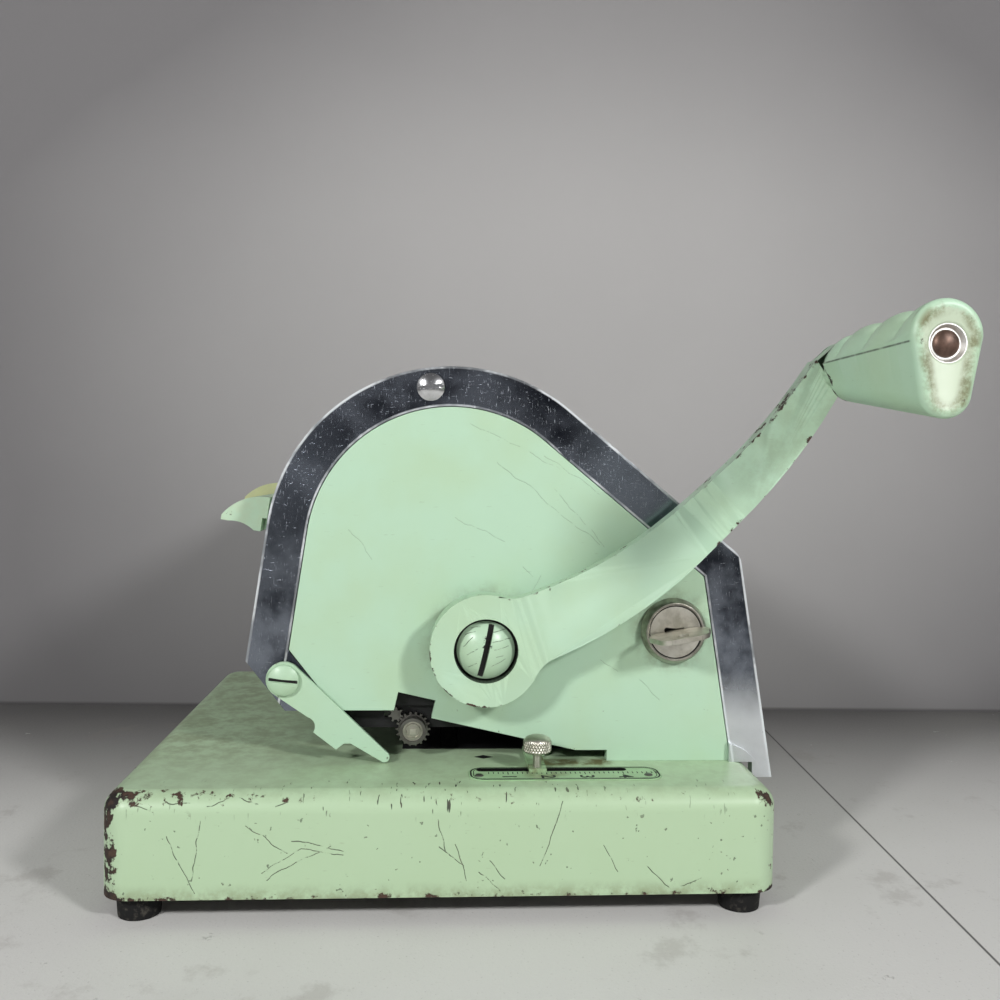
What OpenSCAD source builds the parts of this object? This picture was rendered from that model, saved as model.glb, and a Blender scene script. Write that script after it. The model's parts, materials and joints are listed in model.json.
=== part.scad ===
// Lever-operated cheque writer: a pressed base, a two-plate head with a curved front,
// nine index levers with type segments, a platen lifted by the pull handle, an ink
// carriage, a paper stop with its scale, a line pointer and a cylinder lock.
// The front faces -Y, the handle is on the right at +X and the table is Z = 0.
// The origin is the centre of the base's footprint.

/* [Base] */
// Width of the base
base_w = 260; // [240:1:300]
// Depth of the base, front to back
base_d = 292; // [286:1:300]
// Height of the base's flat top above the table
base_top = 56; // [52:0.5:60]
// Height of the base's lower edge above the table
base_lift = 11; // [8:0.5:14]
// Radius of the base's upright corners
corner_r = 12; // [10.5:0.5:16]
// Radius along the base's top edge
edge_r = 9; // [5:0.5:10]
// Wall of the pressed base
base_wall = 1.8; // [1.2:0.1:2.5]
// Diameter of a rubber foot
foot_d = 20; // [16:0.5:24]
// Distance of a foot's centre from the edges of the base
foot_inset = 14; // [14:0.5:18]

/* [Head] */
// Width of the head over its trims
head_w = 169.4; // [166:0.2:176]
// Radius of the head's curved front and top
arc_r = 86.6; // [86:0.2:89]
// Centre of that curve, from the middle of the base
arc_y = 1.8; // [0:0.1:3]
// Height of that curve's centre above the base's top
arc_h = 99; // [98:0.5:101]
// Width of the bright band around the side panel
band_w = 18.5; // [16:0.5:20]
// Thickness of the bright trim
trim_t = 4; // [3:0.25:4.5]
// Thickness of the side plate behind the trim
plate_t = 3; // [2.5:0.25:3.5]
// How far the side panel lies below the trim's face
panel_drop = 0.5; // [0.2:0.1:1.5]
// Thickness of the sheet covers
sheet_t = 1.5; // [1:0.1:2]
// Radius of the head's upper rear corner
rear_r = 10; // [6:0.5:14]
// Height of the throat's front edge above the base's top
throat_h = 24.3; // [23.5:0.1:26]
// Height of the throat at its rear end
throat_rear_h = 5.2; // [4.6:0.1:6]

/* [Handle] */
// Place of the main shaft behind the middle of the base
shaft_y = 17.6; // [16.5:0.1:18.5]
// Height of the main shaft above the base's top
shaft_h = 55.3; // [55:0.1:56]
// Diameter of the main shaft
shaft_d = 16; // [14:0.5:17]
// Diameter of the handle's hub
hub_d = 51.4; // [46:0.2:56]
// Thickness of the hub
hub_t = 14; // [13:0.5:16]
// Thickness of the handle arm
arm_t = 9; // [7:0.5:11]
// How far the arm bends outwards to the grip
arm_swing = 37; // [32:0.5:42]
// Length of the grip
grip_l = 82; // [70:1:95]
// Width of the grip
grip_w = 26; // [24:0.5:28]
// Height of the grip at its outer end
grip_h = 41.8; // [38:0.2:44]

/* [Index levers] */
// Distance from one index lever to the next
lever_pitch = 13.5; // [12.5:0.1:13.8]
// Diameter of the shaft that the levers turn on
pivot_d = 12; // [10:0.5:13]
// Radius at which the type faces lie
type_r = 82; // [81:0.1:82.2]
// Angle from one figure to the next
step_deg = 3.5; // [3:0.1:3.5]
// Length of a finger tab
tab_l = 22; // [18:0.5:24]
// Width of a finger tab
tab_w = 10; // [7:0.5:11]
// Thickness of a lever's steel plate
lever_t = 3; // [2:0.25:3.5]

/* [Paper stop] */
// Length of the slot that the thumb screw runs in
slot_l = 69; // [60:1:72]
// Width of that slot
slot_w = 4.6; // [4.3:0.1:5.5]
// Place of the slot's middle behind the middle of the base
slot_y = 48.5; // [46:0.5:50]
// Distance of the slot from the middle of the base
slot_x = 99; // [98:0.5:101]
// Place of the thumb screw in the slot, from the slot's middle
stop_pos = -6.7; // [-28:0.1:28]
// Diameter of the thumb screw's knurled head
thumb_d = 13; // [10:0.5:15]

/* [Lock and pointer] */
// Diameter of the lock's outer ring
lock_d = 31; // [28:0.5:34]
// Diameter of the lock's face
plug_d = 25; // [23:0.5:27]
// Angle that the key stands at
key_deg = 10; // [0:1:20]
// Thickness of the pointer arm
pointer_t = 2; // [1.5:0.1:3]
// Diameter of the pointer screw's head
pointer_screw_d = 14.2; // [12:0.2:16]

/* [Hidden] */

$fn = 64;
gap = 0.3;                 // between pieces that move past each other
fit = 0.05;                // running fit, on the radius
seat = 0.1;                // between fixed pieces that fit into each other
eps = 0.5;                 // extra length of a cutting tool

mint = [0.70, 0.86, 0.68];
cream = [0.85, 0.83, 0.66];
bright = [0.75, 0.76, 0.78];
steel = [0.55, 0.55, 0.55];
dark = [0.12, 0.12, 0.13];
nickel = [0.62, 0.58, 0.52];
rubber = [0.10, 0.10, 0.10];

// ---- head geometry, drawn in the side plane: x is Y, y is Z ----
arc_z = base_top + arc_h;
trim_x = head_w / 2;                     // outer face of a trim
plate_x = trim_x - trim_t;               // face of a side plate behind its trim
inner_x = plate_x - plate_t;             // inner face of a side plate
panel_x = trim_x - panel_drop;           // face of the side panel
front_deg = 171.7;                       // outward normal of the straight front
slope_deg = 50.7;                        // outward normal of the sloping top
rear_deg = 9.3;                          // outward normal of the rear
chin_deg = 218.2;                        // outward normal of the cut-back chin
rear_reach = 135.5;                      // from the curve's centre to the rear
chin_reach = 106.5;                      // from the curve's centre to the chin
cover_in = 1.5;                          // the covers lie this far inside the trim
throat_z = base_top + throat_h;
throat_rear_z = base_top + throat_rear_h;
throat_back = 76.6;                      // where the side plates come down to the base
slope_start = [-6.9, throat_z - 3.7];
slope_end = [61.7, throat_rear_z];
notch_w = 18;
notch_h = 8.6;
toe_y = base_d / 2 - 11;                 // the trim's rear foot starts here
toe_t = 2.2;
skirt = 8;                               // the rear trim reaches this far below the base's top

function dir(a) = [cos(a), sin(a)];
// the point where two lines with normals a1, a2 and distances d1, d2 cross
function cross_at(a1, d1, a2, d2) =
    [d1 * sin(a2) - d2 * sin(a1), d2 * cos(a1) - d1 * cos(a2)] / sin(a2 - a1);
function on_line(a, d, z) = [(d - z * sin(a)) / cos(a), z];
// points along an arc about c, from angle a1 to a2 in n steps
function arc(c, r, a1, a2, n) = [for (k = [0 : n]) c + r * dir(a1 + (a2 - a1) * k / n)];
function heading(v) = atan2(v[1], v[0]);
// the same, the short way round from point p1 to point p2
function arc_between(c, p1, p2, n) =
    let (a1 = heading(p1 - c), d = heading(p2 - c) - a1,
         turn = d > 180 ? d - 360 : d < -180 ? d + 360 : d)
    arc(c, norm(p1 - c), a1, a1 + turn, n);
// a centre at distances r1 and r2 from the points c1 and c2, left or right of the way to c2
function meet(c1, r1, c2, r2, side) =
    let (v = c2 - c1, d = norm(v), a = (d * d + r1 * r1 - r2 * r2) / (2 * d),
         h = side * sqrt(r1 * r1 - a * a))
    c1 + [v[0] * a - v[1] * h, v[1] * a + v[0] * h] / d;

module slab(x, t) {
    translate([x, 0, 0]) rotate([90, 0, 90]) linear_extrude(t) children();
}
module both_sides() {
    children();
    mirror([1, 0, 0]) children();
}
module rod(x, y, z, d, l) {
    translate([x, y, z]) rotate([0, 90, 0]) cylinder(d = d, h = l);
}

// the head's side outline, drawn inset by i and down to height zb
module head_shape(i, zb) {
    r = max(rear_r - i, 2);
    q = cross_at(slope_deg, arc_r - i - r, rear_deg, rear_reach - i - r);
    low = zb - arc_z;
    translate([arc_y, arc_z]) polygon(concat(
        [on_line(chin_deg, chin_reach - i, low)],
        [cross_at(front_deg, arc_r - i, chin_deg, chin_reach - i)],
        arc([0, 0], arc_r - i, front_deg, slope_deg, 60),
        arc(q, r, slope_deg, rear_deg, 10),
        [on_line(rear_deg, rear_reach - i, low)]));
}
// everything below the side plates: the throat and its notch
module throat_cut() {
    along = (slope_end - slope_start) / norm(slope_end - slope_start);
    up = [-along[1], along[0]];
    corner = slope_start - notch_w * along;
    polygon([[-200, throat_z], [corner[0], throat_z], corner + notch_h * up,
        slope_start + notch_h * up, slope_start, slope_end, [throat_back, throat_rear_z],
        [throat_back, 0], [-200, 0]]);
}
module plate_shape(i) {
    difference() {
        head_shape(i, base_top);
        throat_cut();
    }
}
// two-dimensional ring sector about the curve's centre
module sector(r1, r2, a1, a2) {
    difference() {
        intersection() {
            circle(r2, $fn = 180);
            polygon(concat([[0, 0]], [for (k = [0 : 4]) 2 * r2 * dir(a1 + (a2 - a1) * k / 4)]));
        }
        if (r1 > 0) circle(r1, $fn = 180);
    }
}

// ---- base ----
pan_h = base_top - base_lift;
foot_x = base_w / 2 - foot_inset;
foot_y = base_d / 2 - foot_inset;
foot_h = base_lift + 2;
bottom_t = 1.5;
bottom_z = foot_h;
foot_screw_d = 4;
foot_recess_d = 9;
foot_recess_h = 3;
post_d = 10;
post_z = bottom_z + bottom_t;
ceiling_z = base_top - base_wall;
lift_x0 = inner_x - 11.7;                // the lift plates, between the levers and the cranks
lift_t = 4;
bed_w = 2 * (lift_x0 - 3);
bed_y0 = -21;
bed_y1 = 60;
bed_t = 0.4;
platen_w = 8;
platen_t = 3;
platen_len = lever_pitch * 9;
print_y = arc_y;                         // the type prints straight below the lever shaft
leg_y0 = 79;                             // their legs pass down into the base behind the throat
leg_y1 = 90;
gauge_x0 = slot_x - 4;                   // the scale plate lies around the slot
gauge_x1 = slot_x + 15;
gauge_y0 = slot_y - 38.1;
gauge_y1 = slot_y + 49.3;
gauge_t = 0.5;
rivet_d = 4;
head_screw_d = 5;
head_screw_y = [103, 126];
flange_y0 = 93;
flange_y1 = 135;
foot_flange_w = 12;
foot_flange_t = 3;

module pan_edge(rc, rf, h) {
    square([rc - rf, h]);
    square([rc, h - rf]);
    translate([rc - rf, h - rf]) intersection() {
        circle(rf);
        square(rf);
    }
}
module pan_solid(w, d, h, rc, rf) {
    for (sx = [-1, 1], sy = [-1, 1])
        translate([sx * (w / 2 - rc), sy * (d / 2 - rc), 0]) rotate_extrude() pan_edge(rc, rf, h);
    for (turn = [0, 90]) {
        width = turn == 0 ? w : d;
        len = turn == 0 ? d : w;
        rotate([0, 0, turn]) rotate([90, 0, 0]) linear_extrude(len - 2 * rc, center = true)
            both_sides_2d() {
                square([width / 2 - rc + 0.01, h]);
                translate([width / 2 - rc, 0]) pan_edge(rc, rf, h);
            }
    }
}
module both_sides_2d() {
    children();
    mirror([1, 0]) children();
}
module slot(x, y, l, d, z0, z1) {
    translate([x, y, z0]) linear_extrude(z1 - z0) {
        square([d, l - d], center = true);
        for (s = [-1, 1]) translate([0, s * (l - d) / 2]) circle(d = d);
    }
}
module at_feet() {
    for (sx = [-1, 1], sy = [-1, 1]) translate([sx * foot_x, sy * foot_y, 0]) children();
}
module at_head_screws() {
    for (sx = [-1, 1], y = head_screw_y)
        translate([sx * (inner_x - foot_flange_w / 2), y, 0]) children();
}
module base_pan() {
    color(mint) difference() {
        translate([0, 0, base_lift]) pan_solid(base_w, base_d, pan_h, corner_r, edge_r);
        translate([0, 0, base_lift - eps])
            pan_solid(base_w - 2 * base_wall, base_d - 2 * base_wall,
                pan_h + eps - base_wall, corner_r - base_wall, edge_r - base_wall);
        slot(slot_x, slot_y, slot_l, slot_w, ceiling_z - eps, base_top + eps);
        translate([-platen_len / 2 - gap, print_y - platen_w / 2 - gap, ceiling_z - eps])
            cube([platen_len + 2 * gap, platen_w + 2 * gap, base_wall + 2 * eps]);
        for (x = [lift_x0, -lift_x0 - lift_t]) translate([x - gap, leg_y0 - gap, ceiling_z - eps])
            cube([lift_t + 2 * gap, leg_y1 - leg_y0 + 2 * gap, base_wall + 2 * eps]);
        at_head_screws() translate([0, 0, ceiling_z - eps])
            cylinder(d = head_screw_d + 2 * seat, h = base_wall + 2 * eps);
        for (y = [gauge_y0 + 4.5, gauge_y1 - 6])
            translate([(gauge_x1 + slot_x + slot_w / 2) / 2, y, ceiling_z - eps])
                cylinder(d = rivet_d / 2 + 2 * seat, h = base_wall + 2 * eps);
    }
}
module bottom_plate() {
    w = base_w - 2 * base_wall - 2 * gap;
    d = base_d - 2 * base_wall - 2 * gap;
    r = corner_r - base_wall - gap;
    color(steel) difference() {
        translate([0, 0, bottom_z]) linear_extrude(bottom_t) {
            square([w - 2 * r, d], center = true);
            square([w, d - 2 * r], center = true);
            for (sx = [-1, 1], sy = [-1, 1])
                translate([sx * (w / 2 - r), sy * (d / 2 - r)]) circle(r);
        }
        at_feet() translate([0, 0, bottom_z - eps])
            cylinder(d = foot_screw_d + 2 * seat, h = bottom_t + 2 * eps);
    }
}
module base_posts() {
    color(steel) at_feet() difference() {
        translate([0, 0, post_z]) cylinder(d = post_d, h = ceiling_z - post_z);
        translate([0, 0, post_z - eps]) cylinder(d = foot_screw_d + 2 * seat, h = 12);
    }
}
module rubber_feet() {
    color(rubber) at_feet() difference() {
        cylinder(d1 = foot_d - 2, d2 = foot_d, h = foot_h);
        translate([0, 0, -eps]) cylinder(d = foot_recess_d, h = foot_recess_h + eps);
        cylinder(d = foot_screw_d + 2 * seat, h = foot_h + eps);
    }
}
module foot_screws() {
    head = 2;
    color(steel) at_feet() difference() {
        union() {
            translate([0, 0, foot_recess_h - head]) cylinder(d = foot_recess_d - 1, h = head);
            translate([0, 0, foot_recess_h - head]) cylinder(d = foot_screw_d, h = 20);
        }
        translate([-foot_recess_d, -0.5, foot_recess_h - head - eps])
            cube([2 * foot_recess_d, 1, 0.8 + eps]);
    }
}
module gauge_outline() {
    r = 7;
    mid = (gauge_x0 + gauge_x1) / 2;
    w = gauge_x1 - gauge_x0;
    translate([gauge_x0, gauge_y0 + r]) square([w, gauge_y1 - gauge_y0 - 2 * r]);
    translate([gauge_x0 + r, gauge_y0]) square([w - 2 * r, gauge_y1 - gauge_y0]);
    for (x = [gauge_x0 + r, gauge_x1 - r], y = [gauge_y0 + r, gauge_y1 - r])
        translate([x, y]) circle(r);
}
module gauge_plate() {
    color(mint) difference() {
        translate([0, 0, base_top]) linear_extrude(gauge_t) gauge_outline();
        slot(slot_x, slot_y, slot_l, slot_w, base_top - eps, base_top + gauge_t + eps);
        for (y = [gauge_y0 + 4.5, gauge_y1 - 6])
            translate([(gauge_x1 + slot_x + slot_w / 2) / 2, y, base_top - eps])
                cylinder(d = rivet_d / 2 + 2 * seat, h = gauge_t + 2 * eps);
    }
}
module gauge_rivets() {
    color(steel) for (y = [gauge_y0 + 4.5, gauge_y1 - 6])
        translate([(gauge_x1 + slot_x + slot_w / 2) / 2, y, 0]) {
            translate([0, 0, ceiling_z - 0.6]) cylinder(d = rivet_d / 2, h = base_wall + gauge_t + 0.8);
            translate([0, 0, base_top + gauge_t]) cylinder(d1 = rivet_d, d2 = rivet_d * 0.7, h = 0.6);
            translate([0, 0, ceiling_z - 0.6]) cylinder(d = rivet_d, h = 0.6);
        }
}
module bed_plate() {
    color(dark) difference() {
        translate([-bed_w / 2, bed_y0, base_top]) cube([bed_w, bed_y1 - bed_y0, bed_t]);
        translate([-platen_len / 2 - gap, print_y - platen_w / 2 - gap, base_top - eps])
            cube([platen_len + 2 * gap, platen_w + 2 * gap, bed_t + 2 * eps]);
    }
}
guide_d = 5;
guide_x = lift_x0 + 1;
guide_y = [print_y, 62];
module guide_posts() {
    color(steel) both_sides() for (y = guide_y)
        translate([guide_x, y, post_z]) cylinder(d = guide_d, h = ceiling_z - post_z);
}

// ---- head ----
shaft_z = base_top + shaft_h;
bush_d = 22;
bush_flange_d = 28;
bush_flange_t = 2.5;
top_screw = [-9, arc_z + arc_r - 9.8];
top_screw_d = 13;
tie_d = 8;
tie_at = [[35, base_top + 164.6], [132, base_top + 80], [142, base_top + 16], [-70, base_top + 31]];
tie_screw_d = 5;
tie_head_d = 9;
tie_head_h = 2;
lock_at = [107.2, base_top + 62.7];
lock_hole_d = 22;
pointer_at = [-75.3, base_top + 39.3];
pointer_shank_d = 6;
rail_x0 = inner_x - 7.1;
rail_h = 6;
rail_y0 = -62;
rail_y1 = -5.5;
rail_z = throat_z + 0.9;

module side_holes() {
    circle_at([shaft_y, shaft_z], bush_d + 2 * seat);
    circle_at(pointer_at, pointer_shank_d + 2 * seat);
    circle_at(top_screw, tie_screw_d + 2 * seat);
    for (p = tie_at) circle_at(p, tie_screw_d + 2 * seat);
}
module circle_at(p, d) {
    translate(p) circle(d = d);
}
module side_plate(lock) {
    difference() {
        union() {
            slab(inner_x, plate_t) plate_shape(cover_in);
            slab(plate_x, trim_t - panel_drop) plate_shape(band_w + gap);
            translate([inner_x - foot_flange_w, flange_y0, base_top])
                cube([foot_flange_w, flange_y1 - flange_y0, foot_flange_t]);
        }
        slab(inner_x - eps, plate_t + trim_t + 2 * eps) side_holes();
        if (lock) slab(inner_x - eps, plate_t + trim_t + 2 * eps)
            circle_at(lock_at, lock_hole_d + 2 * seat);
        for (p = tie_at) slab(plate_x - tie_head_h, trim_t) circle_at(p, tie_head_d + 2 * seat);
        for (y = head_screw_y) translate([inner_x - foot_flange_w / 2, y, base_top - eps])
            cylinder(d = head_screw_d + 2 * seat, h = foot_flange_t + 2 * eps);
    }
}
module side_plate_right() { color(mint) side_plate(true); }
module side_plate_left() { color(mint) mirror([1, 0, 0]) side_plate(false); }

module side_trim() {
    difference() {
        slab(plate_x, trim_t) difference() {
            head_shape(0, base_top - skirt);
            head_shape(band_w, base_top - 40);
            translate([-200, 0]) square([200, throat_z]);
            translate([-200, 0]) square([200 + base_d / 2 + gap, base_top]);
            circle_at(top_screw, tie_screw_d + 2 * seat);
            circle_at(pointer_at, pointer_shank_d + 2 * seat);
        }
        slab(trim_x - 1.2, 2) circle_at(top_screw, top_screw_d + 1.2);
    }
    slab(trim_x, toe_t) polygon([[toe_y, base_top], [toe_y, base_top + 9], [toe_y + 7, base_top + 6],
        [base_d / 2 + 2, base_top + 1], [base_d / 2 + 6, base_top - skirt + 2],
        [base_d / 2 + gap, base_top - skirt + 2], [base_d / 2 + gap, base_top]]);
}
module side_trim_right() { color(bright) side_trim(); }
module side_trim_left() { color(bright) mirror([1, 0, 0]) side_trim(); }

// covers: strips of the outline between two side plates
module cover_strip() {
    difference() {
        head_shape(cover_in, base_top);
        head_shape(cover_in + sheet_t, base_top - 20);
        throat_cut();
        translate([-200, 0]) square([200 + base_d / 2 + gap, base_top]);
    }
}
cover_w = 2 * inner_x - 2 * gap;
seam_y = 24;                             // where the front and rear covers meet
lever_slot_w = lever_t + 2;
lever_count = 9;
slot_a1 = front_deg + 4.5;
slot_a0 = front_deg - 9 * step_deg - 3;
function lever_x(k) = (k - (lever_count + 1) / 2) * -lever_pitch;

module front_cover() {
    color(mint) difference() {
        slab(-cover_w / 2, cover_w) intersection() {
            cover_strip();
            translate([-200, 0]) square([200 + seam_y, 300]);
        }
        for (k = [1 : lever_count]) slab(lever_x(k) - lever_slot_w / 2, lever_slot_w)
            translate([arc_y, arc_z]) sector(arc_r - 8, arc_r + 4, slot_a0, slot_a1);
    }
}
module rear_cover() {
    color(mint) slab(-cover_w / 2, cover_w) intersection() {
        cover_strip();
        translate([seam_y + gap, 0]) square([200, 300]);
    }
}
module tie_rods() {
    color(steel) for (p = tie_at) difference() {
        rod(-inner_x, p[0], p[1], tie_d, 2 * inner_x);
        rod(-inner_x - eps, p[0], p[1], tie_screw_d + 2 * seat, 12 + eps);
        rod(inner_x - 12, p[0], p[1], tie_screw_d + 2 * seat, 12 + eps);
    }
}
module tie_screws() {
    color(steel) both_sides() for (p = tie_at) difference() {
        union() {
            rod(plate_x - tie_head_h, p[0], p[1], tie_head_d, tie_head_h - seat);
            rod(inner_x - 10, p[0], p[1], tie_screw_d, plate_t - tie_head_h + 10);
        }
        translate([plate_x - 1, p[0] - tie_head_d, p[1] - 0.6]) cube([2, 2 * tie_head_d, 1.2]);
    }
}
// a domed head that lies along +X from x = 0
module domed_head(d, h) {
    rise = h * 0.55;
    r = (d * d / 4 + rise * rise) / (2 * rise);
    rotate([0, 90, 0]) {
        cylinder(d = d, h = h - rise);
        intersection() {
            translate([0, 0, h - r]) sphere(r, $fn = 96);
            cylinder(d = d, h = h + 1);
        }
    }
}
module slotted_head(d, h, slot_w, slot_deg) {
    rotate([slot_deg, 0, 0]) difference() {
        domed_head(d, h);
        translate([h * 0.55, -d, -slot_w / 2]) cube([h, 2 * d, slot_w]);
    }
}
module trim_screw(p, head_x, d, h, slot_w, slot_deg) {
    translate([head_x, p[0], p[1]]) slotted_head(d, h, slot_w, slot_deg);
    rod(inner_x - 4, p[0], p[1], tie_screw_d, head_x - inner_x + 4);
}
module trim_screws() {
    color(bright) {
        both_sides() trim_screw(top_screw, trim_x - 1.2, top_screw_d, 3.4, 1.6, 8);
        mirror([1, 0, 0]) trim_screw(pointer_at, trim_x, pointer_screw_d, 3.6, 1.7, -6);
    }
}
module head_screws() {
    color(steel) at_head_screws() {
        translate([0, 0, ceiling_z - 3]) cylinder(d = 9, h = 3);
        translate([0, 0, ceiling_z - 3]) cylinder(d = head_screw_d, h = base_wall + foot_flange_t + 4);
        translate([0, 0, base_top + foot_flange_t]) cylinder(d = 9.2, h = 3, $fn = 6);
    }
}
module shaft_bushes() {
    color(nickel) both_sides() difference() {
        union() {
            rod(inner_x - bush_flange_t, shaft_y, shaft_z, bush_flange_d, bush_flange_t);
            rod(inner_x - bush_flange_t, shaft_y, shaft_z, bush_d, panel_x + 2.2 - inner_x + bush_flange_t);
        }
        rod(inner_x - bush_flange_t - eps, shaft_y, shaft_z, shaft_d + 2 * fit, 30);
    }
}
block_d = 28;
block_t = 6;
module shaft_blocks() {
    color(steel) both_sides() difference() {
        rod(inner_x - block_t, arc_y, arc_z, block_d, block_t);
        rod(inner_x - block_t - eps, arc_y, arc_z, pivot_d + 2 * seat, block_t + 2 * eps);
    }
}
stack_w = lever_pitch * lever_count;
module lever_shaft() {
    color(steel) {
        rod(-inner_x, arc_y, arc_z, pivot_d, 2 * inner_x);
        both_sides() rod(stack_w / 2 + gap, arc_y, arc_z, pivot_d + 6,
            inner_x - block_t - stack_w / 2 - gap);
    }
}
// the bar behind the levers that carries their detent springs
bar_y0 = 34;
bar_z1 = arc_z + 6;
bar_w = 8;
detent_r = 24;
leaf_t = 0.6;
strip_t = 1.2;
strip_y0 = 30;
module detent_bar() {
    color(steel) slab(-inner_x, 2 * inner_x)
        translate([bar_y0, bar_z1 - bar_w]) square([bar_w, bar_w]);
}
module detent_springs() {
    tip = [arc_y, arc_z] + (detent_r + 0.75) * dir(44);
    root = [strip_y0, bar_z1 + strip_t / 2];
    side = leaf_t / 2 * dir(heading(root - tip) + 90);
    color(steel) {
        for (k = [1 : lever_count]) slab(lever_x(k) - 2, 4)
            polygon([tip - side, root - side, root + [1, 0] - side, root + [1, 0] + side,
                root + side, tip + side]);
        translate([-stack_w / 2, strip_y0, bar_z1]) cube([stack_w, bar_y0 + bar_w - strip_y0, strip_t]);
    }
}
hook_t = 1;                              // the rail's ledge under the carriage's lip
carriage_x0 = inner_x - 4.7;
carriage_t = 2;
module carriage_rails() {
    w = inner_x - rail_x0;
    reach = carriage_x0 - gap - rail_x0;
    color(dark) both_sides() translate([0, rail_y0, 0]) rotate([90, 0, 0]) mirror([0, 0, 1])
        linear_extrude(rail_y1 - rail_y0) translate([rail_x0, rail_z]) polygon([[0, rail_h],
            [0, -2.6], [reach, -2.6], [reach, -2.6 + hook_t], [hook_t, -2.6 + hook_t], [hook_t, 0],
            [w, 0], [w, rail_h]]);
}

// ---- handle ----
hub_x0 = panel_x + 2.8;
hub_x1 = hub_x0 + hub_t;
arm_x1 = hub_x1;
arm_x0 = arm_x1 - arm_t;
grip_x0 = arm_x1 + arm_swing;
grip_x1 = grip_x0 + grip_l;
recess_d = 29.4;
recess_h = 9;
arm_up_c = [-31, 331];
arm_up_r = 205.4;
arm_low_c = [-36.5, 307];
arm_low_r = 216.5;
hub_fillet = 16;
arm_end_up = -22;                        // where the arm's edges end, about their centres
arm_end_low = -19;
grip_at = [168.2, 239.9];                // axis of the grip's stud
rise_deg = 41.5;                         // direction of the arm from hub to grip
bend_deg = 25;                           // angle of the outward bend
bend_r = 70;
hub_c = [shaft_y, shaft_z];
arm_lift = shaft_z - 111.3;              // the arm follows the shaft's height
stud_d = 8;
boss_d = 22;
grip_top = grip_at[1] + 13.5;            // top of the grip where it leaves the arm
grip_bore_d = 13.8;
grip_bore_h = 8;

module arm_outline() {
    up_c = arm_up_c + [0, arm_lift];
    low_c = arm_low_c + [0, arm_lift];
    f = hub_fillet;
    f_up = meet(hub_c, hub_d / 2 + f, up_c, arm_up_r - f, -1);
    f_low = meet(hub_c, hub_d / 2 + f, low_c, arm_low_r + f, -1);
    t_up = up_c + (f_up - up_c) * arm_up_r / norm(f_up - up_c);
    t_low = low_c + (f_low - low_c) * arm_low_r / norm(f_low - low_c);
    inside = hub_d / 2 - 0.6;
    fillet_up = arc_between(f_up, hub_c + hub_d / 2 * dir(heading(f_up - hub_c)), t_up, 8);
    fillet_low = arc_between(f_low, t_low, hub_c + hub_d / 2 * dir(heading(f_low - hub_c)), 8);
    polygon(concat(
        [hub_c, hub_c + inside * dir(heading(f_up - hub_c) + 4)],
        [for (k = [1 : 8]) fillet_up[k]],
        arc(up_c, arm_up_r, heading(t_up - up_c) + 1, arm_end_up, 16),
        arc(low_c, arm_low_r, arm_end_low, heading(t_low - low_c) + 1, 16),
        [for (k = [0 : 7]) fillet_low[k]],
        [hub_c + inside * dir(heading(f_low - hub_c) - 4)]));
}
// the arm seen along its own plane: straight, bent outwards, straight again
module bend_outline(u_end) {
    mid_r = bend_r + arm_t / 2;
    u1 = u_end - (arm_swing - mid_r * (1 - cos(bend_deg))) / tan(bend_deg) - mid_r * sin(bend_deg);
    c = [u1, arm_x1 + bend_r];
    far = 60 * dir(bend_deg);
    outer = arc(c, bend_r + arm_t, -90, -90 + bend_deg, 14);
    inner = arc(c, bend_r, -90 + bend_deg, -90, 14);
    side = concat([[-60, arm_x1], [-60, arm_x0]], outer,
        [outer[14] + 2 * far, inner[0] + 2 * far], inner);
    polygon([for (p = side) [p[1], p[0]]]);
}
module handle_arm() {
    reach = norm(grip_at + [0, arm_lift] - hub_c);
    color(mint) difference() {
        union() {
            intersection() {
                slab(arm_x0 - 1, arm_swing + arm_t + 1) arm_outline();
                translate([0, hub_c[0], hub_c[1]]) rotate([rise_deg, 0, 0])
                    translate([0, 0, -120]) linear_extrude(240) bend_outline(reach);
            }
            rod(hub_x0, hub_c[0], hub_c[1], hub_d, hub_t);
            rod(grip_x0 - 11, grip_at[0], grip_at[1] + arm_lift, boss_d, 11);
        }
        rod(hub_x0 - eps, hub_c[0], hub_c[1], shaft_d + 2 * seat, hub_t);
        rod(hub_x1 - recess_h, hub_c[0], hub_c[1], recess_d, recess_h + eps);
        rod(grip_x0 - 20, grip_at[0], grip_at[1] + arm_lift, stud_d + 2 * seat, 30);
    }
}
module hub_screw() {
    color(mint) {
        translate([hub_x1 - recess_h, hub_c[0], hub_c[1]])
            slotted_head(recess_d - 2.4, recess_h + 0.8, 2.6, 78);
        rod(hub_x1 - recess_h - 9, hub_c[0], hub_c[1], 8, 9);
    }
}
function ridge(x) = 1.7 * pow(abs(sin(180 * (x - grip_x0 - 13) / (grip_l / 3.1))), 0.7);
// one cross-section of the grip at distance s along it, as n points
function grip_ring(s, n) =
    let (f = s / grip_l, past = (s - grip_l + 2.4) / 2.4,
         edge = s < 2 ? 1.4 * (1 - s / 2) : past > 0 ? 2.2 - 2.2 * sqrt(max(0, 1 - past * past)) : 0,
         top = grip_top + 2.2 * f + arm_lift,
         low = grip_top - 28.4 + (28.4 - grip_h + 2.2) * f + arm_lift,
         r1 = grip_w / 2, r2 = grip_w / 2 - 3.5,
         zt = top - r1, zb = low + r2)
    [for (k = [0 : n - 1])
        let (a = 360 * k / n + 0.001,
             upper = a < 180,
             wave = upper ? (ridge(grip_x0 + s) - 1.7) * pow(sin(a), 2) * (a > 90 ? 1 : 0.8) : 0,
             r = (upper ? r1 : r2) - edge + (s > 6 && s < grip_l - 8 ? wave : 0))
        [grip_x0 + s, grip_at[0] - (upper ? 0 : 0.72 * sin(-a)) + r * cos(a),
            (upper ? zt : zb) + r * sin(a)]];
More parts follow.
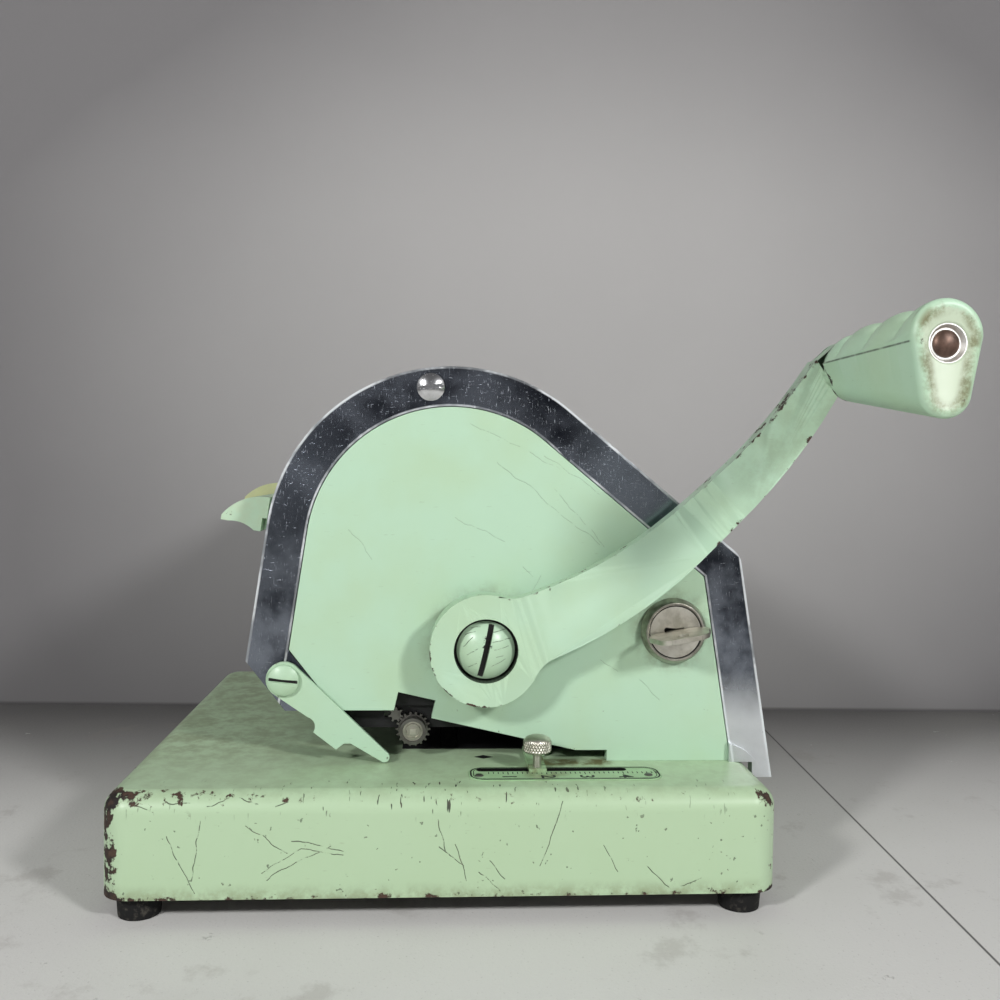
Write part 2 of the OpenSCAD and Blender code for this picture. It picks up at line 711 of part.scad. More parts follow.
module loft(rings) {
    n = len(rings[0]);
    m = len(rings);
    polyhedron(
        points = [for (r = rings) each r],
        faces = concat([[for (k = [0 : n - 1]) k]],
            [for (j = [0 : m - 2], k = [0 : n - 1])
                let (k2 = (k + 1) % n) [j * n + k, (j + 1) * n + k, j * n + k2]],
            [for (j = [0 : m - 2], k = [0 : n - 1])
                let (k2 = (k + 1) % n) [j * n + k2, (j + 1) * n + k, (j + 1) * n + k2]],
            [[for (k = [n - 1 : -1 : 0]) (m - 1) * n + k]]));
}
module grip() {
    stations = concat([0, 1, 2], [for (s = [4 : 2 : grip_l - 4]) s],
        [grip_l - 2.4, grip_l - 1.4, grip_l - 0.6, grip_l - 0.15, grip_l]);
    color(mint) difference() {
        loft([for (s = stations) grip_ring(s, 36)]);
        rod(grip_x0 - eps, grip_at[0], grip_at[1] + arm_lift, stud_d + 2 * seat, grip_l + 2);
        rod(grip_x1 - grip_bore_h, grip_at[0], grip_at[1] + arm_lift, grip_bore_d, grip_bore_h + eps);
    }
}
module grip_stud() {
    color([0.35, 0.22, 0.16]) {
        rod(grip_x0 - 12, grip_at[0], grip_at[1] + arm_lift, stud_d, grip_l - grip_bore_h + 12);
        translate([grip_x1 - grip_bore_h, grip_at[0], grip_at[1] + arm_lift]) domed_head(10.8, 4.5);
    }
}
module main_shaft() {
    color(steel) difference() {
        rod(-panel_x - 2.2, hub_c[0], hub_c[1], shaft_d, panel_x + 2.2 + hub_x1 - recess_h);
        rod(hub_x1 - recess_h - 12, hub_c[0], hub_c[1], 8 + 2 * seat, 13);
    }
}
handle_range = 75;
swing_half = handle_range / 2;
press_stroke = arc_z - type_r - base_top - bed_t - gap;
throw = press_stroke / (2 * sin(swing_half));
crank_x0 = lift_x0 + lift_t + 2 * gap;
crank_t = 4;
crank_pin_d = 8;
crank_at = hub_c + throw * dir(-swing_half);
module crank_arms() {
    nose_r = 7;
    hub_r = 12;
    side = dir(90 - swing_half);
    color(steel) both_sides() {
        difference() {
            slab(crank_x0, crank_t) {
                circle_at(hub_c, 2 * hub_r);
                circle_at(crank_at, 2 * nose_r);
                polygon([hub_c + (hub_r - 1) * side, hub_c - (hub_r - 1) * side,
                    crank_at - (nose_r - 0.4) * side, crank_at + (nose_r - 0.4) * side]);
            }
            rod(crank_x0 - 1, hub_c[0], hub_c[1], shaft_d + 2 * seat, crank_t + 2);
        }
        rod(lift_x0 - 0.4, crank_at[0], crank_at[1], crank_pin_d, crank_x0 - lift_x0 + 1);
    }
}

// ---- the platen and what lifts it ----
fork_y0 = hub_c[0] + shaft_d / 2 + 2 * gap;
fork_slack = 0.35;                       // the slide follows the crank within this
fork_h = crank_pin_d + 2 * (gap + fork_slack);
fork_wall = 6;
arm_z0 = crank_at[1] - 7;
arm_z1 = crank_at[1] + 9;
yoke_z0 = 30;
yoke_t = 4;
yoke_x0 = lift_x0 - 5;
yoke_w = 12;
module lift_plates() {
    color(steel) both_sides() slab(lift_x0, lift_t) difference() {
        union() {
            translate([fork_y0, crank_at[1] - fork_h / 2 - fork_wall])
                square([20, fork_h + 2 * fork_wall]);
            translate([fork_y0, arm_z0]) square([leg_y1 - fork_y0, arm_z1 - arm_z0]);
            translate([leg_y0, yoke_z0 + yoke_t])
                square([leg_y1 - leg_y0, arm_z1 - yoke_z0 - yoke_t]);
        }
        translate([fork_y0 - 1, crank_at[1] - fork_h / 2]) square([12, fork_h]);
    }
}
module platen_yoke() {
    cross_y0 = print_y - platen_w / 2 - 4;
    color(steel) difference() {
        translate([0, 0, yoke_z0]) linear_extrude(yoke_t) {
            translate([-yoke_x0 - yoke_w, cross_y0]) square([2 * (yoke_x0 + yoke_w), platen_w + 8]);
            for (x = [yoke_x0, -yoke_x0 - yoke_w])
                translate([x, cross_y0]) square([yoke_w, leg_y1 + 2 - cross_y0]);
        }
        for (sx = [-1, 1], y = guide_y) translate([sx * guide_x, y, yoke_z0 - eps])
            cylinder(d = guide_d + 2 * fit, h = yoke_t + 2 * eps);
    }
}
module platen_beam() {
    z0 = yoke_z0 + yoke_t;
    color(steel) translate([-platen_len / 2, print_y - platen_w / 2, z0])
        cube([platen_len, platen_w, base_top + bed_t - platen_t - z0]);
}
module platen_strip() {
    color(rubber) translate([-platen_len / 2, print_y - platen_w / 2, base_top + bed_t - platen_t])
        cube([platen_len, platen_w, platen_t]);
}
// a helical spring standing on its lower end
function coil_ring(r, wire, turns, h, t, n) =
    let (a = 360 * turns * t)
    [for (k = [0 : n - 1]) let (b = 360 * k / n)
        [(r + wire / 2 * cos(b)) * cos(a), (r + wire / 2 * cos(b)) * sin(a), h * t + wire / 2 * sin(b)]];
spring_r = 2.4;
spring_wire = 0.9;
spring_h = 32;
spring_y = (leg_y0 + leg_y1) / 2;
spring_post_d = 4;
module return_springs() {
    turns = 6;
    steps = turns * 14;
    color(steel) both_sides() translate([lift_x0 + lift_t / 2, spring_y, arm_z1 + spring_wire / 2])
        loft([for (j = [0 : steps])
            coil_ring(spring_r, spring_wire, turns, spring_h - spring_wire, j / steps, 6)]);
}
module spring_posts() {
    color(steel) both_sides() rod(lift_x0 - 1, spring_y, arm_z1 + spring_h + spring_post_d / 2,
        spring_post_d, inner_x - lift_x0 + 1);
}

// ---- index levers ----
tab_back = 4.2;                          // from the trim's edge to the back of a tab
module tab_shape() {
    // in the lever's own directions: x outwards, y upwards; x = 0 is the back of the tab
    s = tab_l / 22;
    scale([s, s]) intersection() {
        difference() {
            translate([0, -6.4]) square([21.9, 18]);
            translate([15.2, -19.4]) circle(16.2);
            translate([-1, -8]) square([3.2, 8.2]);
            translate([14, -8]) square([10, 4.5]);
        }
        translate([0.7, -14.2]) circle(24.9);
    }
}
module lever_shape() {
    difference() {
        union() {
            circle(11);
            sector(0, type_r - 8, 247, 262);
            sector(0, detent_r, 15, 75);
            sector(type_r - 14, type_r - 2, 247, 270 + 9 * step_deg + 2.5);
            rotate(front_deg) translate([0, -5]) square([arc_r - 6, 10]);
            rotate(front_deg) translate([0, -3]) square([arc_r + tab_back + 1, 8]);
        }
        circle(d = pivot_d + 2 * fit);
        for (k = [-1 : 9]) rotate(44 + k * step_deg) translate([detent_r + 0.1, 0]) circle(0.8);
    }
}
module index_lever(k, step, tab_colour) {
    translate([lever_x(k), arc_y, arc_z]) rotate([-step * step_deg, 0, 0]) {
        color(steel) difference() {
            union() {
                slab(-lever_t / 2, lever_t) lever_shape();
                slab(-(lever_pitch - 2 * gap) / 2, lever_pitch - 2 * gap) circle(11);
                slab(-4.5, 9) {
                    sector(type_r - 8, type_r - 2, 267, 270 + 9 * step_deg + 2.5);
                    for (j = [0 : 9]) rotate(270 + j * step_deg)
                        translate([type_r - 3, -1.7]) square([3, 3.4]);
                }
            }
            slab(-lever_pitch, 2 * lever_pitch) circle(d = pivot_d + 2 * fit);
        }
        color(tab_colour) slab(-tab_w / 2, tab_w) rotate(front_deg) mirror([0, 1])
            translate([arc_r + tab_back, 0]) tab_shape();
    }
}
module index_lever_1() { index_lever(1, 0, mint); }
module index_lever_2() { index_lever(2, 0, mint); }
module index_lever_3() { index_lever(3, 0, mint); }
module index_lever_4() { index_lever(4, 0, mint); }
module index_lever_5() { index_lever(5, 1, cream); }
module index_lever_6() { index_lever(6, 1, cream); }
module index_lever_7() { index_lever(7, 1, cream); }
module index_lever_8() { index_lever(8, 1, cream); }
module index_lever_9() { index_lever(9, 1, cream); }

// ---- ink carriage ----
roller_at = [-15.6, base_top + 13.7];
roller_d = 9;
axle_d = 3;
tooth_module = 0.85;
gear_teeth = 18;
pinion_teeth = 7;
gear_x0 = carriage_x0 + carriage_t + 0.4;
gear_t = 2;
carriage_y0 = -49;
carriage_y1 = 18;
carriage_z0 = throat_z - 10.3;           // the carriage bar hangs below the throat's edge
gear_dist = tooth_module * (gear_teeth + pinion_teeth) / 2 + 0.08;
pinion_deg = 140;
pinion_at = roller_at + gear_dist * dir(pinion_deg);
carriage_top = rail_z - gap;
lip_w = 1;

module toothed(teeth, turn) {
    r = tooth_module * teeth / 2;
    w = 180 / teeth * 0.62;
    rotate(turn) {
        circle(r - 0.75 * tooth_module);
        for (k = [0 : teeth - 1]) rotate(360 * k / teeth)
            polygon([for (p = [[r - tooth_module, -w * 0.9], [r + 0.7 * tooth_module, -w * 0.42],
                [r + 0.7 * tooth_module, w * 0.42], [r - tooth_module, w * 0.9]]) p[0] * dir(p[1])]);
    }
}
module ink_carriage() {
    color(dark) both_sides() {
        slab(carriage_x0, carriage_t) difference() {
            union() {
                translate([carriage_y0, carriage_z0])
                    square([carriage_y1 - carriage_y0, carriage_top - carriage_z0]);
                translate([roller_at[0] - 4, roller_at[1]]) square([8, 4]);
                circle_at(roller_at, roller_d);
            }
            circle_at(roller_at, axle_d + 2 * fit);
            circle_at(pinion_at, 2 + 2 * fit);
            translate([-29.5, throat_z - 5.3]) square([4.9, 2.6]);
        }
        slab(carriage_x0 - lip_w, lip_w) translate([carriage_y0, carriage_top - 1])
            square([carriage_y1 - carriage_y0, 1]);
    }
}
module ink_roller() {
    color(rubber) {
        rod(-bed_w / 2, roller_at[0], roller_at[1], roller_d, bed_w);
        rod(-carriage_x0 - carriage_t - 1, roller_at[0], roller_at[1], axle_d,
            carriage_x0 + carriage_t + 1 + gear_x0);
    }
}
module roller_gear() {
    color(nickel) difference() {
        union() {
            slab(gear_x0, gear_t) translate(roller_at) toothed(gear_teeth, pinion_deg);
            rod(gear_x0 + gear_t, roller_at[0], roller_at[1], 12.6, 5);
        }
        rod(gear_x0 + gear_t + 4, roller_at[0], roller_at[1], 9.6, 3);
    }
}
module feed_pinion() {
    color(nickel) {
        slab(gear_x0, gear_t) translate(pinion_at)
            toothed(pinion_teeth, pinion_deg + 180 + 180 / pinion_teeth);
        rod(carriage_x0 - 1, pinion_at[0], pinion_at[1], 2, gear_x0 - carriage_x0 + 1);
    }
}

// ---- paper stop ----
stem_d = 4;
thumb_at = [slot_x, slot_y + stop_pos];
thumb_z = base_top + 8.8;
thumb_h = 7.9;
stop_x0 = lift_x0;
module stop_slider() {
    color(steel) difference() {
        union() {
            translate([stop_x0, thumb_at[1] - 4, base_top + gauge_t]) cube([slot_x + 5 - stop_x0, 8, 1.6]);
            translate([stop_x0, thumb_at[1] + 4, base_top + gauge_t]) cube([12, 1.6, 4]);
        }
        translate([thumb_at[0], thumb_at[1], base_top]) cylinder(d = stem_d + 2 * fit, h = 10);
    }
}
module thumb_screw() {
    color(nickel) translate([thumb_at[0], thumb_at[1], 0]) {
        translate([0, 0, ceiling_z - 3]) cylinder(d = stem_d, h = thumb_z - ceiling_z + 4);
        translate([0, 0, thumb_z]) {
            cylinder(d = thumb_d, h = thumb_h * 0.55);
            r = (thumb_d * thumb_d / 4 + pow(thumb_h * 0.45, 2)) / (2 * thumb_h * 0.45);
            intersection() {
                translate([0, 0, thumb_h - r]) sphere(r);
                cylinder(d = thumb_d, h = thumb_h + 1);
            }
        }
        translate([0, 0, ceiling_z - 3.5]) cylinder(d = 10, h = 2.5);
    }
}

// ---- lock ----
ring_h = 6.3;
module lock_body() {
    color(nickel) difference() {
        union() {
            translate([panel_x, lock_at[0], lock_at[1]]) rotate([0, 90, 0]) {
                cylinder(d = lock_d, h = 2.5);
                translate([0, 0, 2.5]) cylinder(d1 = lock_d, d2 = lock_d - 3.4, h = ring_h - 2.5);
            }
            rod(inner_x - 16, lock_at[0], lock_at[1], lock_hole_d, panel_x - inner_x + 16);
        }
        rod(panel_x + 2, lock_at[0], lock_at[1], plug_d + 2 * fit, ring_h);
        rod(inner_x - 17, lock_at[0], lock_at[1], 14 + 2 * fit, 60);
    }
}
module lock_nut() {
    color(nickel) slab(inner_x - 4, 4) translate(lock_at) difference() {
        circle(15.5, $fn = 6);
        circle(d = lock_hole_d + 2 * seat);
    }
}
key_t = 2.2;
blade_w = 8;
module key_way(c) {
    translate([0, lock_at[0], lock_at[1]]) rotate([key_deg, 0, 0])
        translate([panel_x - 16, -blade_w / 2 - c, -key_t / 2 - c])
            cube([60, blade_w + 2 * c, key_t + 2 * c]);
}
module lock_plug() {
    color(nickel) difference() {
        union() {
            rod(panel_x + 2.2, lock_at[0], lock_at[1], plug_d, ring_h - 2.6);
            rod(inner_x - 18, lock_at[0], lock_at[1], 14, panel_x + 2.2 - inner_x + 18);
        }
        key_way(gap);
    }
}
module lock_cam() {
    color(steel) slab(inner_x - 21, 3) translate(lock_at) rotate(-20) {
        circle(9);
        translate([0, -5]) square([24, 10]);
    }
}
bow_w = 28.6;
bow_l = 21;
module key() {
    x0 = panel_x + ring_h - 0.4 + 1.2;
    color(nickel) translate([0, lock_at[0], lock_at[1]]) rotate([key_deg, 0, 0]) {
        translate([panel_x - 14, -blade_w / 2, -key_t / 2]) cube([x0 + 4 - panel_x + 14, blade_w, key_t]);
        translate([x0, 0, -key_t / 2]) linear_extrude(key_t) difference() {
            bow_outline();
            translate([bow_l - 6, 0]) circle(2.6);
        }
    }
}
module bow_outline() {
    r = 7.5;
    for (s = [-1, 1]) translate([r, s * (bow_w / 2 - r)]) circle(r);
    for (s = [-1, 1]) translate([bow_l - r, s * (bow_w / 2 - r - 2)]) circle(r);
    translate([0, -bow_w / 2 + r]) square([bow_l, bow_w - 2 * r]);
    polygon([[r, -bow_w / 2], [bow_l - r, -bow_w / 2 + 2], [bow_l - r, bow_w / 2 - 2], [r, bow_w / 2]]);
}

// ---- line pointer ----
pointer_x0 = trim_x + gap;
module pointer_outline() {
    tip = [-28.6, base_top + 2.9];
    lobe = 8.25;
    difference() {
        polygon(concat(
            arc(pointer_at, lobe, 40, 230, 24),
            arc([-65.4, base_top + 17.4], 4.6, 75, -35, 8),
            [[-51, base_top + 6.6], [-47.4, base_top + 9.4], [-44.2, base_top + 9.4]],
            arc(tip, 2.4, 250, 405, 12)));
        circle_at(pointer_at, pointer_shank_d + 2 * fit);
    }
}
module line_pointer() { color(mint) slab(pointer_x0, pointer_t) pointer_outline(); }
module pointer_screw() {
    color(mint) {
        translate([pointer_x0 + pointer_t + gap, pointer_at[0], pointer_at[1]])
            slotted_head(pointer_screw_d, 3.6, 1.7, -6);
        rod(inner_x - 5, pointer_at[0], pointer_at[1], pointer_shank_d,
            pointer_x0 + pointer_t + gap - inner_x + 5);
        rod(inner_x - 4, pointer_at[0], pointer_at[1], 9, 4);
    }
}

base_pan();
bottom_plate();
base_posts();
rubber_feet();
foot_screws();
gauge_plate();
gauge_rivets();
bed_plate();
guide_posts();
side_plate_right();
side_plate_left();
side_trim_right();
side_trim_left();
front_cover();
rear_cover();
tie_rods();
tie_screws();
trim_screws();
head_screws();
shaft_bushes();
shaft_blocks();
lever_shaft();
detent_bar();
detent_springs();
carriage_rails();
lock_body();
lock_nut();
pointer_screw();
spring_posts();
handle_arm();
hub_screw();
grip();
grip_stud();
main_shaft();
crank_arms();
lift_plates();
platen_yoke();
platen_beam();
platen_strip();
return_springs();
index_lever_1();
index_lever_2();
index_lever_3();
index_lever_4();
index_lever_5();
index_lever_6();
index_lever_7();
index_lever_8();
index_lever_9();
ink_carriage();
ink_roller();
roller_gear();
feed_pinion();
stop_slider();
thumb_screw();
lock_plug();
lock_cam();
key();
line_pointer();
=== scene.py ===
import json
import math

import bmesh
import bpy
from mathutils import Matrix, Vector

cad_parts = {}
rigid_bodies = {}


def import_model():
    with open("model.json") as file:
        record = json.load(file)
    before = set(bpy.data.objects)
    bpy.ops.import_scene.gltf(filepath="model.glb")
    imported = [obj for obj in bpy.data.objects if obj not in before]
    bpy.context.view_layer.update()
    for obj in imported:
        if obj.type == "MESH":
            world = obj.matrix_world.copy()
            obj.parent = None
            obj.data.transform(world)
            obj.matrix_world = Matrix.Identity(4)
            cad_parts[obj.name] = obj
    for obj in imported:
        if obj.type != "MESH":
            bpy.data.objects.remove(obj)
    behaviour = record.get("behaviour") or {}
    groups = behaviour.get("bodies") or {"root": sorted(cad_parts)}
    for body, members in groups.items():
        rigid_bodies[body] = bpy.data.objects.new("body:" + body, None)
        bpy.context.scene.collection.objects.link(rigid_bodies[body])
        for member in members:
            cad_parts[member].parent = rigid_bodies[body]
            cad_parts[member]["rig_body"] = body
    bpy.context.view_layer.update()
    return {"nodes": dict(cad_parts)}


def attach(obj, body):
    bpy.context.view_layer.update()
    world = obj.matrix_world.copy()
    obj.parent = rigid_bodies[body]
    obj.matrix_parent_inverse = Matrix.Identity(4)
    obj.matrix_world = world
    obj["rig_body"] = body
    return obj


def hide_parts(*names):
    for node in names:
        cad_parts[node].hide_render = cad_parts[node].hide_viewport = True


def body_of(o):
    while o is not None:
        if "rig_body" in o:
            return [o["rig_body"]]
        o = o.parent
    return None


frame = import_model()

# A lever-operated cheque writer in mint enamel with bright bands. Shapes come from the packed
# nodes, softened at their edges, and the finishes are drawn in millimetres on each piece.

print("writer: frame loaded")

millimetre = 0.001
nodes = frame["nodes"]


# one output socket of a node, with arithmetic on it
class Wire:
    def __init__(self, tree, socket=None):
        self.tree = tree
        self.socket = socket

    def make(self, kind, settings=None, inputs=None, output=0):
        node = self.tree.nodes.new(kind)
        for name, value in (settings or {}).items():
            setattr(node, name, value)
        for name, value in (inputs or {}).items():
            if isinstance(value, Wire):
                self.tree.links.new(value.socket, node.inputs[name])
            else:
                node.inputs[name].default_value = value
        return Wire(self.tree, node.outputs[output]) if len(node.outputs) else None

    def maths(self, operation, *values, clamp=False):
        settings = {"operation": operation, "use_clamp": clamp}
        return self.make("ShaderNodeMath", settings, dict(enumerate(values)))

    def vector(self, operation, *values, output=0):
        return self.make("ShaderNodeVectorMath", {"operation": operation}, dict(enumerate(values)), output)

    def __add__(self, other):
        return self.maths("ADD", self, other)

    def __radd__(self, other):
        return self.maths("ADD", other, self)

    def __sub__(self, other):
        return self.maths("SUBTRACT", self, other)

    def __rsub__(self, other):
        return self.maths("SUBTRACT", other, self)

    def __mul__(self, other):
        return self.maths("MULTIPLY", self, other)

    def __rmul__(self, other):
        return self.maths("MULTIPLY", other, self)

    def __abs__(self):
        return self.maths("ABSOLUTE", self)

    def least(self, other):
        return self.maths("MINIMUM", self, other)

    def most(self, other):
        return self.maths("MAXIMUM", self, other)

    # 0 at low and 1 at high, eased between them
    def rise(self, low, high):
        settings = {"interpolation_type": "SMOOTHSTEP"}
        return self.make("ShaderNodeMapRange", settings, {"Value": self, "From Min": low, "From Max": high})

    def fall(self, low, high):
        return 1 - self.rise(low, high)

    def axes(self):
        parts = self.make("ShaderNodeSeparateXYZ", {}, {0: self}).socket.node.outputs
        return [Wire(self.tree, part) for part in parts]

    def blend(self, first, second):
        inputs = {0: self, 6: first, 7: second}
        return self.make("ShaderNodeMix", {"data_type": "RGBA"}, inputs, 2)

    # mottled noise, with patches of about size millimetres
    def mottle(self, size, detail=4.0, rough=0.55, shift=(0.0, 0.0, 0.0), stretch=(1.0, 1.0, 1.0)):
        placed = self.vector("MULTIPLY_ADD", self, stretch, shift)
        inputs = {"Vector": placed, "Scale": 1.0 / size, "Detail": detail, "Roughness": rough}
        return self.make("ShaderNodeTexNoise", {"noise_dimensions": "3D"}, inputs)


# a screen colour, 0 to 255, as the shader's own numbers
def paint(red, green, blue):
    def linear(value):
        part = value / 255.0
        return part / 12.92 if part <= 0.04045 else ((part + 0.055) / 1.055) ** 2.4
    return (linear(red), linear(green), linear(blue), 1.0)


def newFinish(name):
    material = bpy.data.materials.new(name)
    material.use_nodes = True
    material.node_tree.nodes.clear()
    return material, Wire(material.node_tree)


# the piece's own coordinates in millimetres
def millimetres(root):
    coords = root.make("ShaderNodeTexCoord", output=3)
    return coords.vector("MULTIPLY", coords, (1000.0, 1000.0, 1000.0))


# the surface itself; a height of 1 stands depth metres above 0
def coat(root, colour, roughness, metallic=0.0, height=None, depth=0.0003, gleam=0.5):
    inputs = {"Base Color": colour, "Roughness": roughness, "Metallic": metallic,
              "Specular IOR Level": gleam}
    if height is not None:
        inputs["Normal"] = root.make("ShaderNodeBump", {}, {"Height": height, "Distance": depth})
    shader = root.make("ShaderNodeBsdfPrincipled", {}, inputs)
    root.make("ShaderNodeOutputMaterial", {}, {"Surface": shader})


# how near a place is to the closest of some straight scratches, in the piece's Y and Z
def scratchLines(place, lines):
    nearest = None
    for y1, z1, y2, z2 in lines:
        distance, share = lineAway(place, (y1, z1), (y2, z2))
        nearest = distance if nearest is None else nearest.least(distance)
    return nearest


# distance from a straight line between two places in Y and Z, and the share of it passed
def lineAway(place, first, last):
    flat = place.vector("MULTIPLY", place, (0.0, 1.0, 1.0))
    along = Vector((0.0, last[0] - first[0], last[1] - first[1]))
    away = place.vector("SUBTRACT", flat, (0.0, first[0], first[1]))
    share = away.vector("DOT_PRODUCT", away, along / along.length_squared, output=1)
    held = share.maths("ADD", share, 0.0, clamp=True)
    foot = held.make("ShaderNodeCombineXYZ", {}, {0: held, 1: held, 2: held})
    foot = foot.vector("MULTIPLY", foot, along)
    return away.vector("DISTANCE", away, foot, output=1), held


# the view from the handle's side
cameraSet = {
    "eye": (0.5553, -0.0059, 0.1960),    # metres from the middle of the base's footprint
    "yaw": 0.0633,                       # radians, towards the rear
    "pitch": 0.0346,                     # downwards
    "roll": 0.0144,
    "lens": 36.28,                       # millimetres on a 36 mm wide sensor
}


def placeCamera(place):
    yaw, pitch, roll = place["yaw"], place["pitch"], place["roll"]
    flat = math.cos(pitch)
    forward = Vector((-math.cos(yaw) * flat, math.sin(yaw) * flat, -math.sin(pitch)))
    level = Vector((math.sin(yaw), math.cos(yaw), 0.0))
    upright = level.cross(forward)
    right = level * math.cos(roll) + upright * math.sin(roll)
    up = upright * math.cos(roll) - level * math.sin(roll)
    lens = bpy.data.cameras.new("mainCamera")
    lens.sensor_width = 36.0
    lens.lens = place["lens"]
    lens.clip_start = 0.01
    camera = bpy.data.objects.new("mainCamera", lens)
    turn = Matrix((right, up, -forward)).transposed().to_4x4()
    turn.translation = Vector(place["eye"])
    camera.matrix_world = turn
    bpy.context.scene.collection.objects.link(camera)
    bpy.context.scene.camera = camera


placeCamera(cameraSet)
bpy.context.scene.view_settings.view_transform = "Standard"


# floor, wall and light, in metres
roomSet = {
    "floorColour": (212, 211, 208),
    "floorShade": (82, 80, 80),          # painted shade, towards the wall and the far corners
    "floorReach": 3.0,
    "wallColour": (180, 178, 177),
    "wallShade": (122, 120, 121),
    "wallGlow": (-250.0, 110.0, 300.0),  # the palest place on the wall, millimetres
    "wallEnds": ((-0.2652, -0.351), (-0.2356, 0.4567)),   # where the wall meets the floor
    "wallBefore": 2.2,                   # how far it runs either way from the first of these
    "wallAfter": 3.0,
    "wallHeight": 2.4,
    "seam": ((-0.154, 0.241), (0.174, 0.2204)),   # a fine joint line in the floor
    "lampPlaces": ((0.92, -0.66, 0.66), (0.92, 0.66, 0.66)),   # a pair before the handle's side
    "lampTarget": (0.0, 0.0, 0.13),
    "lampSize": 0.13,
    "lampPower": 7.7,
    "backPlace": (-1.1, 1.2, 0.9),       # a soft light for the far side
    "backSize": 1.2,
    "backPower": 9.0,
    "skyLow": 0.25,                      # light from around the object
    "skyHigh": 0.20,                     # light from above
    "skySeen": (0.60, 0.60, 0.59),
}


def lamp(name, place, target, size, power):
    light = bpy.data.lights.new(name, "AREA")
    light.shape = "SQUARE"
    light.size = size
    light.energy = power
    holder = bpy.data.objects.new(name, light)
    holder.location = place
    way = Vector(target) - Vector(place)
    holder.rotation_euler = way.to_track_quat("-Z", "Y").to_euler()
    bpy.context.scene.collection.objects.link(holder)


def flatPiece(name, corners, material):
    mesh = bpy.data.meshes.new(name)
    mesh.from_pydata([Vector(corner) for corner in corners], [], [range(len(corners))])
    mesh.materials.append(material)
    plane = bpy.data.objects.new(name, mesh)
    bpy.context.scene.collection.objects.link(plane)


def floorFinish(room):
    material, root = newFinish("paleFloor")
    place = millimetres(root)
    x, y, z = place.axes()
    grain = place.mottle(1.6, 3.0, 0.6)
    patch = place.mottle(160.0, 3.0, 0.5)
    (x1, y1), (x2, y2) = room["seam"]
    joint = y - (y1 + y2) * 500.0 + (x - (x1 + x2) * 500.0) * ((y1 - y2) / (x2 - x1))
    line = abs(joint).fall(0.25, 0.9)
    # painted shade: the floor darkens towards the wall
    corner = x.fall(-280.0, 60.0) * (0.75 + patch * 0.3)
    tone = corner.blend(paint(*room["floorColour"]), paint(*room["floorShade"]))
    tone = (patch.rise(0.45, 0.75) * 0.22).blend(tone, paint(176, 176, 168))
    tone = (grain.rise(0.62, 0.72) * 0.25).blend(tone, paint(120, 116, 110))
    flakes = place.mottle(26.0, 7.0, 0.72, (5.0, 1.0, 0.0)).rise(0.66, 0.69)
    tone = (flakes * 0.6).blend(tone, paint(226, 226, 222))
    dirt = place.mottle(70.0, 6.0, 0.7, (2.0, 8.0, 0.0)).rise(0.56, 0.66)
    tone = (dirt * 0.3).blend(tone, paint(150, 144, 138))
    tone = (line * 0.85).blend(tone, paint(52, 50, 50))
    coat(root, tone, 0.45 + grain * 0.25, height=grain * 0.5 + flakes, depth=0.0003, gleam=0.35)
    return material


def wallFinish(room):
    material, root = newFinish("greyWall")
    place = millimetres(root)
    x, y, z = place.axes()
    patch = place.mottle(220.0, 3.0, 0.5)
    away = place.vector("DISTANCE", place, room["wallGlow"], output=1)
    # painted shade: darker away from the wall's painted pool of light and towards its top
    shade = away.rise(70.0, 560.0) * 0.95 + patch * 0.2 + z.rise(380.0, 560.0) * 0.25
    tone = shade.blend(paint(*room["wallColour"]), paint(*room["wallShade"]))
    # painted shade along the foot of the wall, where it meets the floor
    tone = (z.fall(0.6, 3.2) * 0.6).blend(tone, paint(56, 54, 54))
    grain = place.mottle(2.5, 3.0, 0.6)
    shader = root.make("ShaderNodeBsdfPrincipled", {},
                       {"Base Color": tone, "Roughness": 0.85 + grain * 0.1})
    clear = root.make("ShaderNodeBsdfTransparent")
    behind = root.make("ShaderNodeNewGeometry", output=6)   # the wall is seen from its front alone
    mixed = root.make("ShaderNodeMixShader", {}, {0: behind, 1: shader, 2: clear})
    root.make("ShaderNodeOutputMaterial", {}, {"Surface": mixed})
    return material


def makeRoom(room):
    reach = room["floorReach"]
    flatPiece("floor", [(-reach, -reach, 0), (reach, -reach, 0), (reach, reach, 0), (-reach, reach, 0)],
              floorFinish(room))
    start, end = (Vector((x, y, 0.0)) for x, y in room["wallEnds"])
    along = (end - start).normalized()
    first = start - along * room["wallBefore"]
    last = start + along * room["wallAfter"]
    rise = Vector((0, 0, room["wallHeight"]))
    flatPiece("wall", [first, last, last + rise, first + rise], wallFinish(room))
    target = room["lampTarget"]
    for side, lampPlace in zip(("Left", "Right"), room["lampPlaces"]):
        lamp("lamp" + side, lampPlace, target, room["lampSize"], room["lampPower"])
    lamp("backLight", room["backPlace"], target, room["backSize"], room["backPower"])

    world = bpy.data.worlds.new("studio")
    bpy.context.scene.world = world
    world.use_nodes = True
    world.node_tree.nodes.clear()
    root = Wire(world.node_tree)
    way = root.make("ShaderNodeTexCoord", output=0)
    height = way.axes()[2].rise(0.1, 0.9)
    level = room["skyLow"] + height * (room["skyHigh"] - room["skyLow"])
    tone = root.make("ShaderNodeCombineColor", {}, {0: level, 1: level, 2: level * 1.02})
    cameraRay = root.make("ShaderNodeLightPath")
    seen = cameraRay.blend(tone, (*room["skySeen"], 1.0))   # a plain grey past the wall and floor
    shader = root.make("ShaderNodeBackground", {}, {0: seen, 1: 1.0})
    root.make("ShaderNodeOutputWorld", {}, {0: shader})


makeRoom(roomSet)
print("writer: camera, floor, wall and light set")


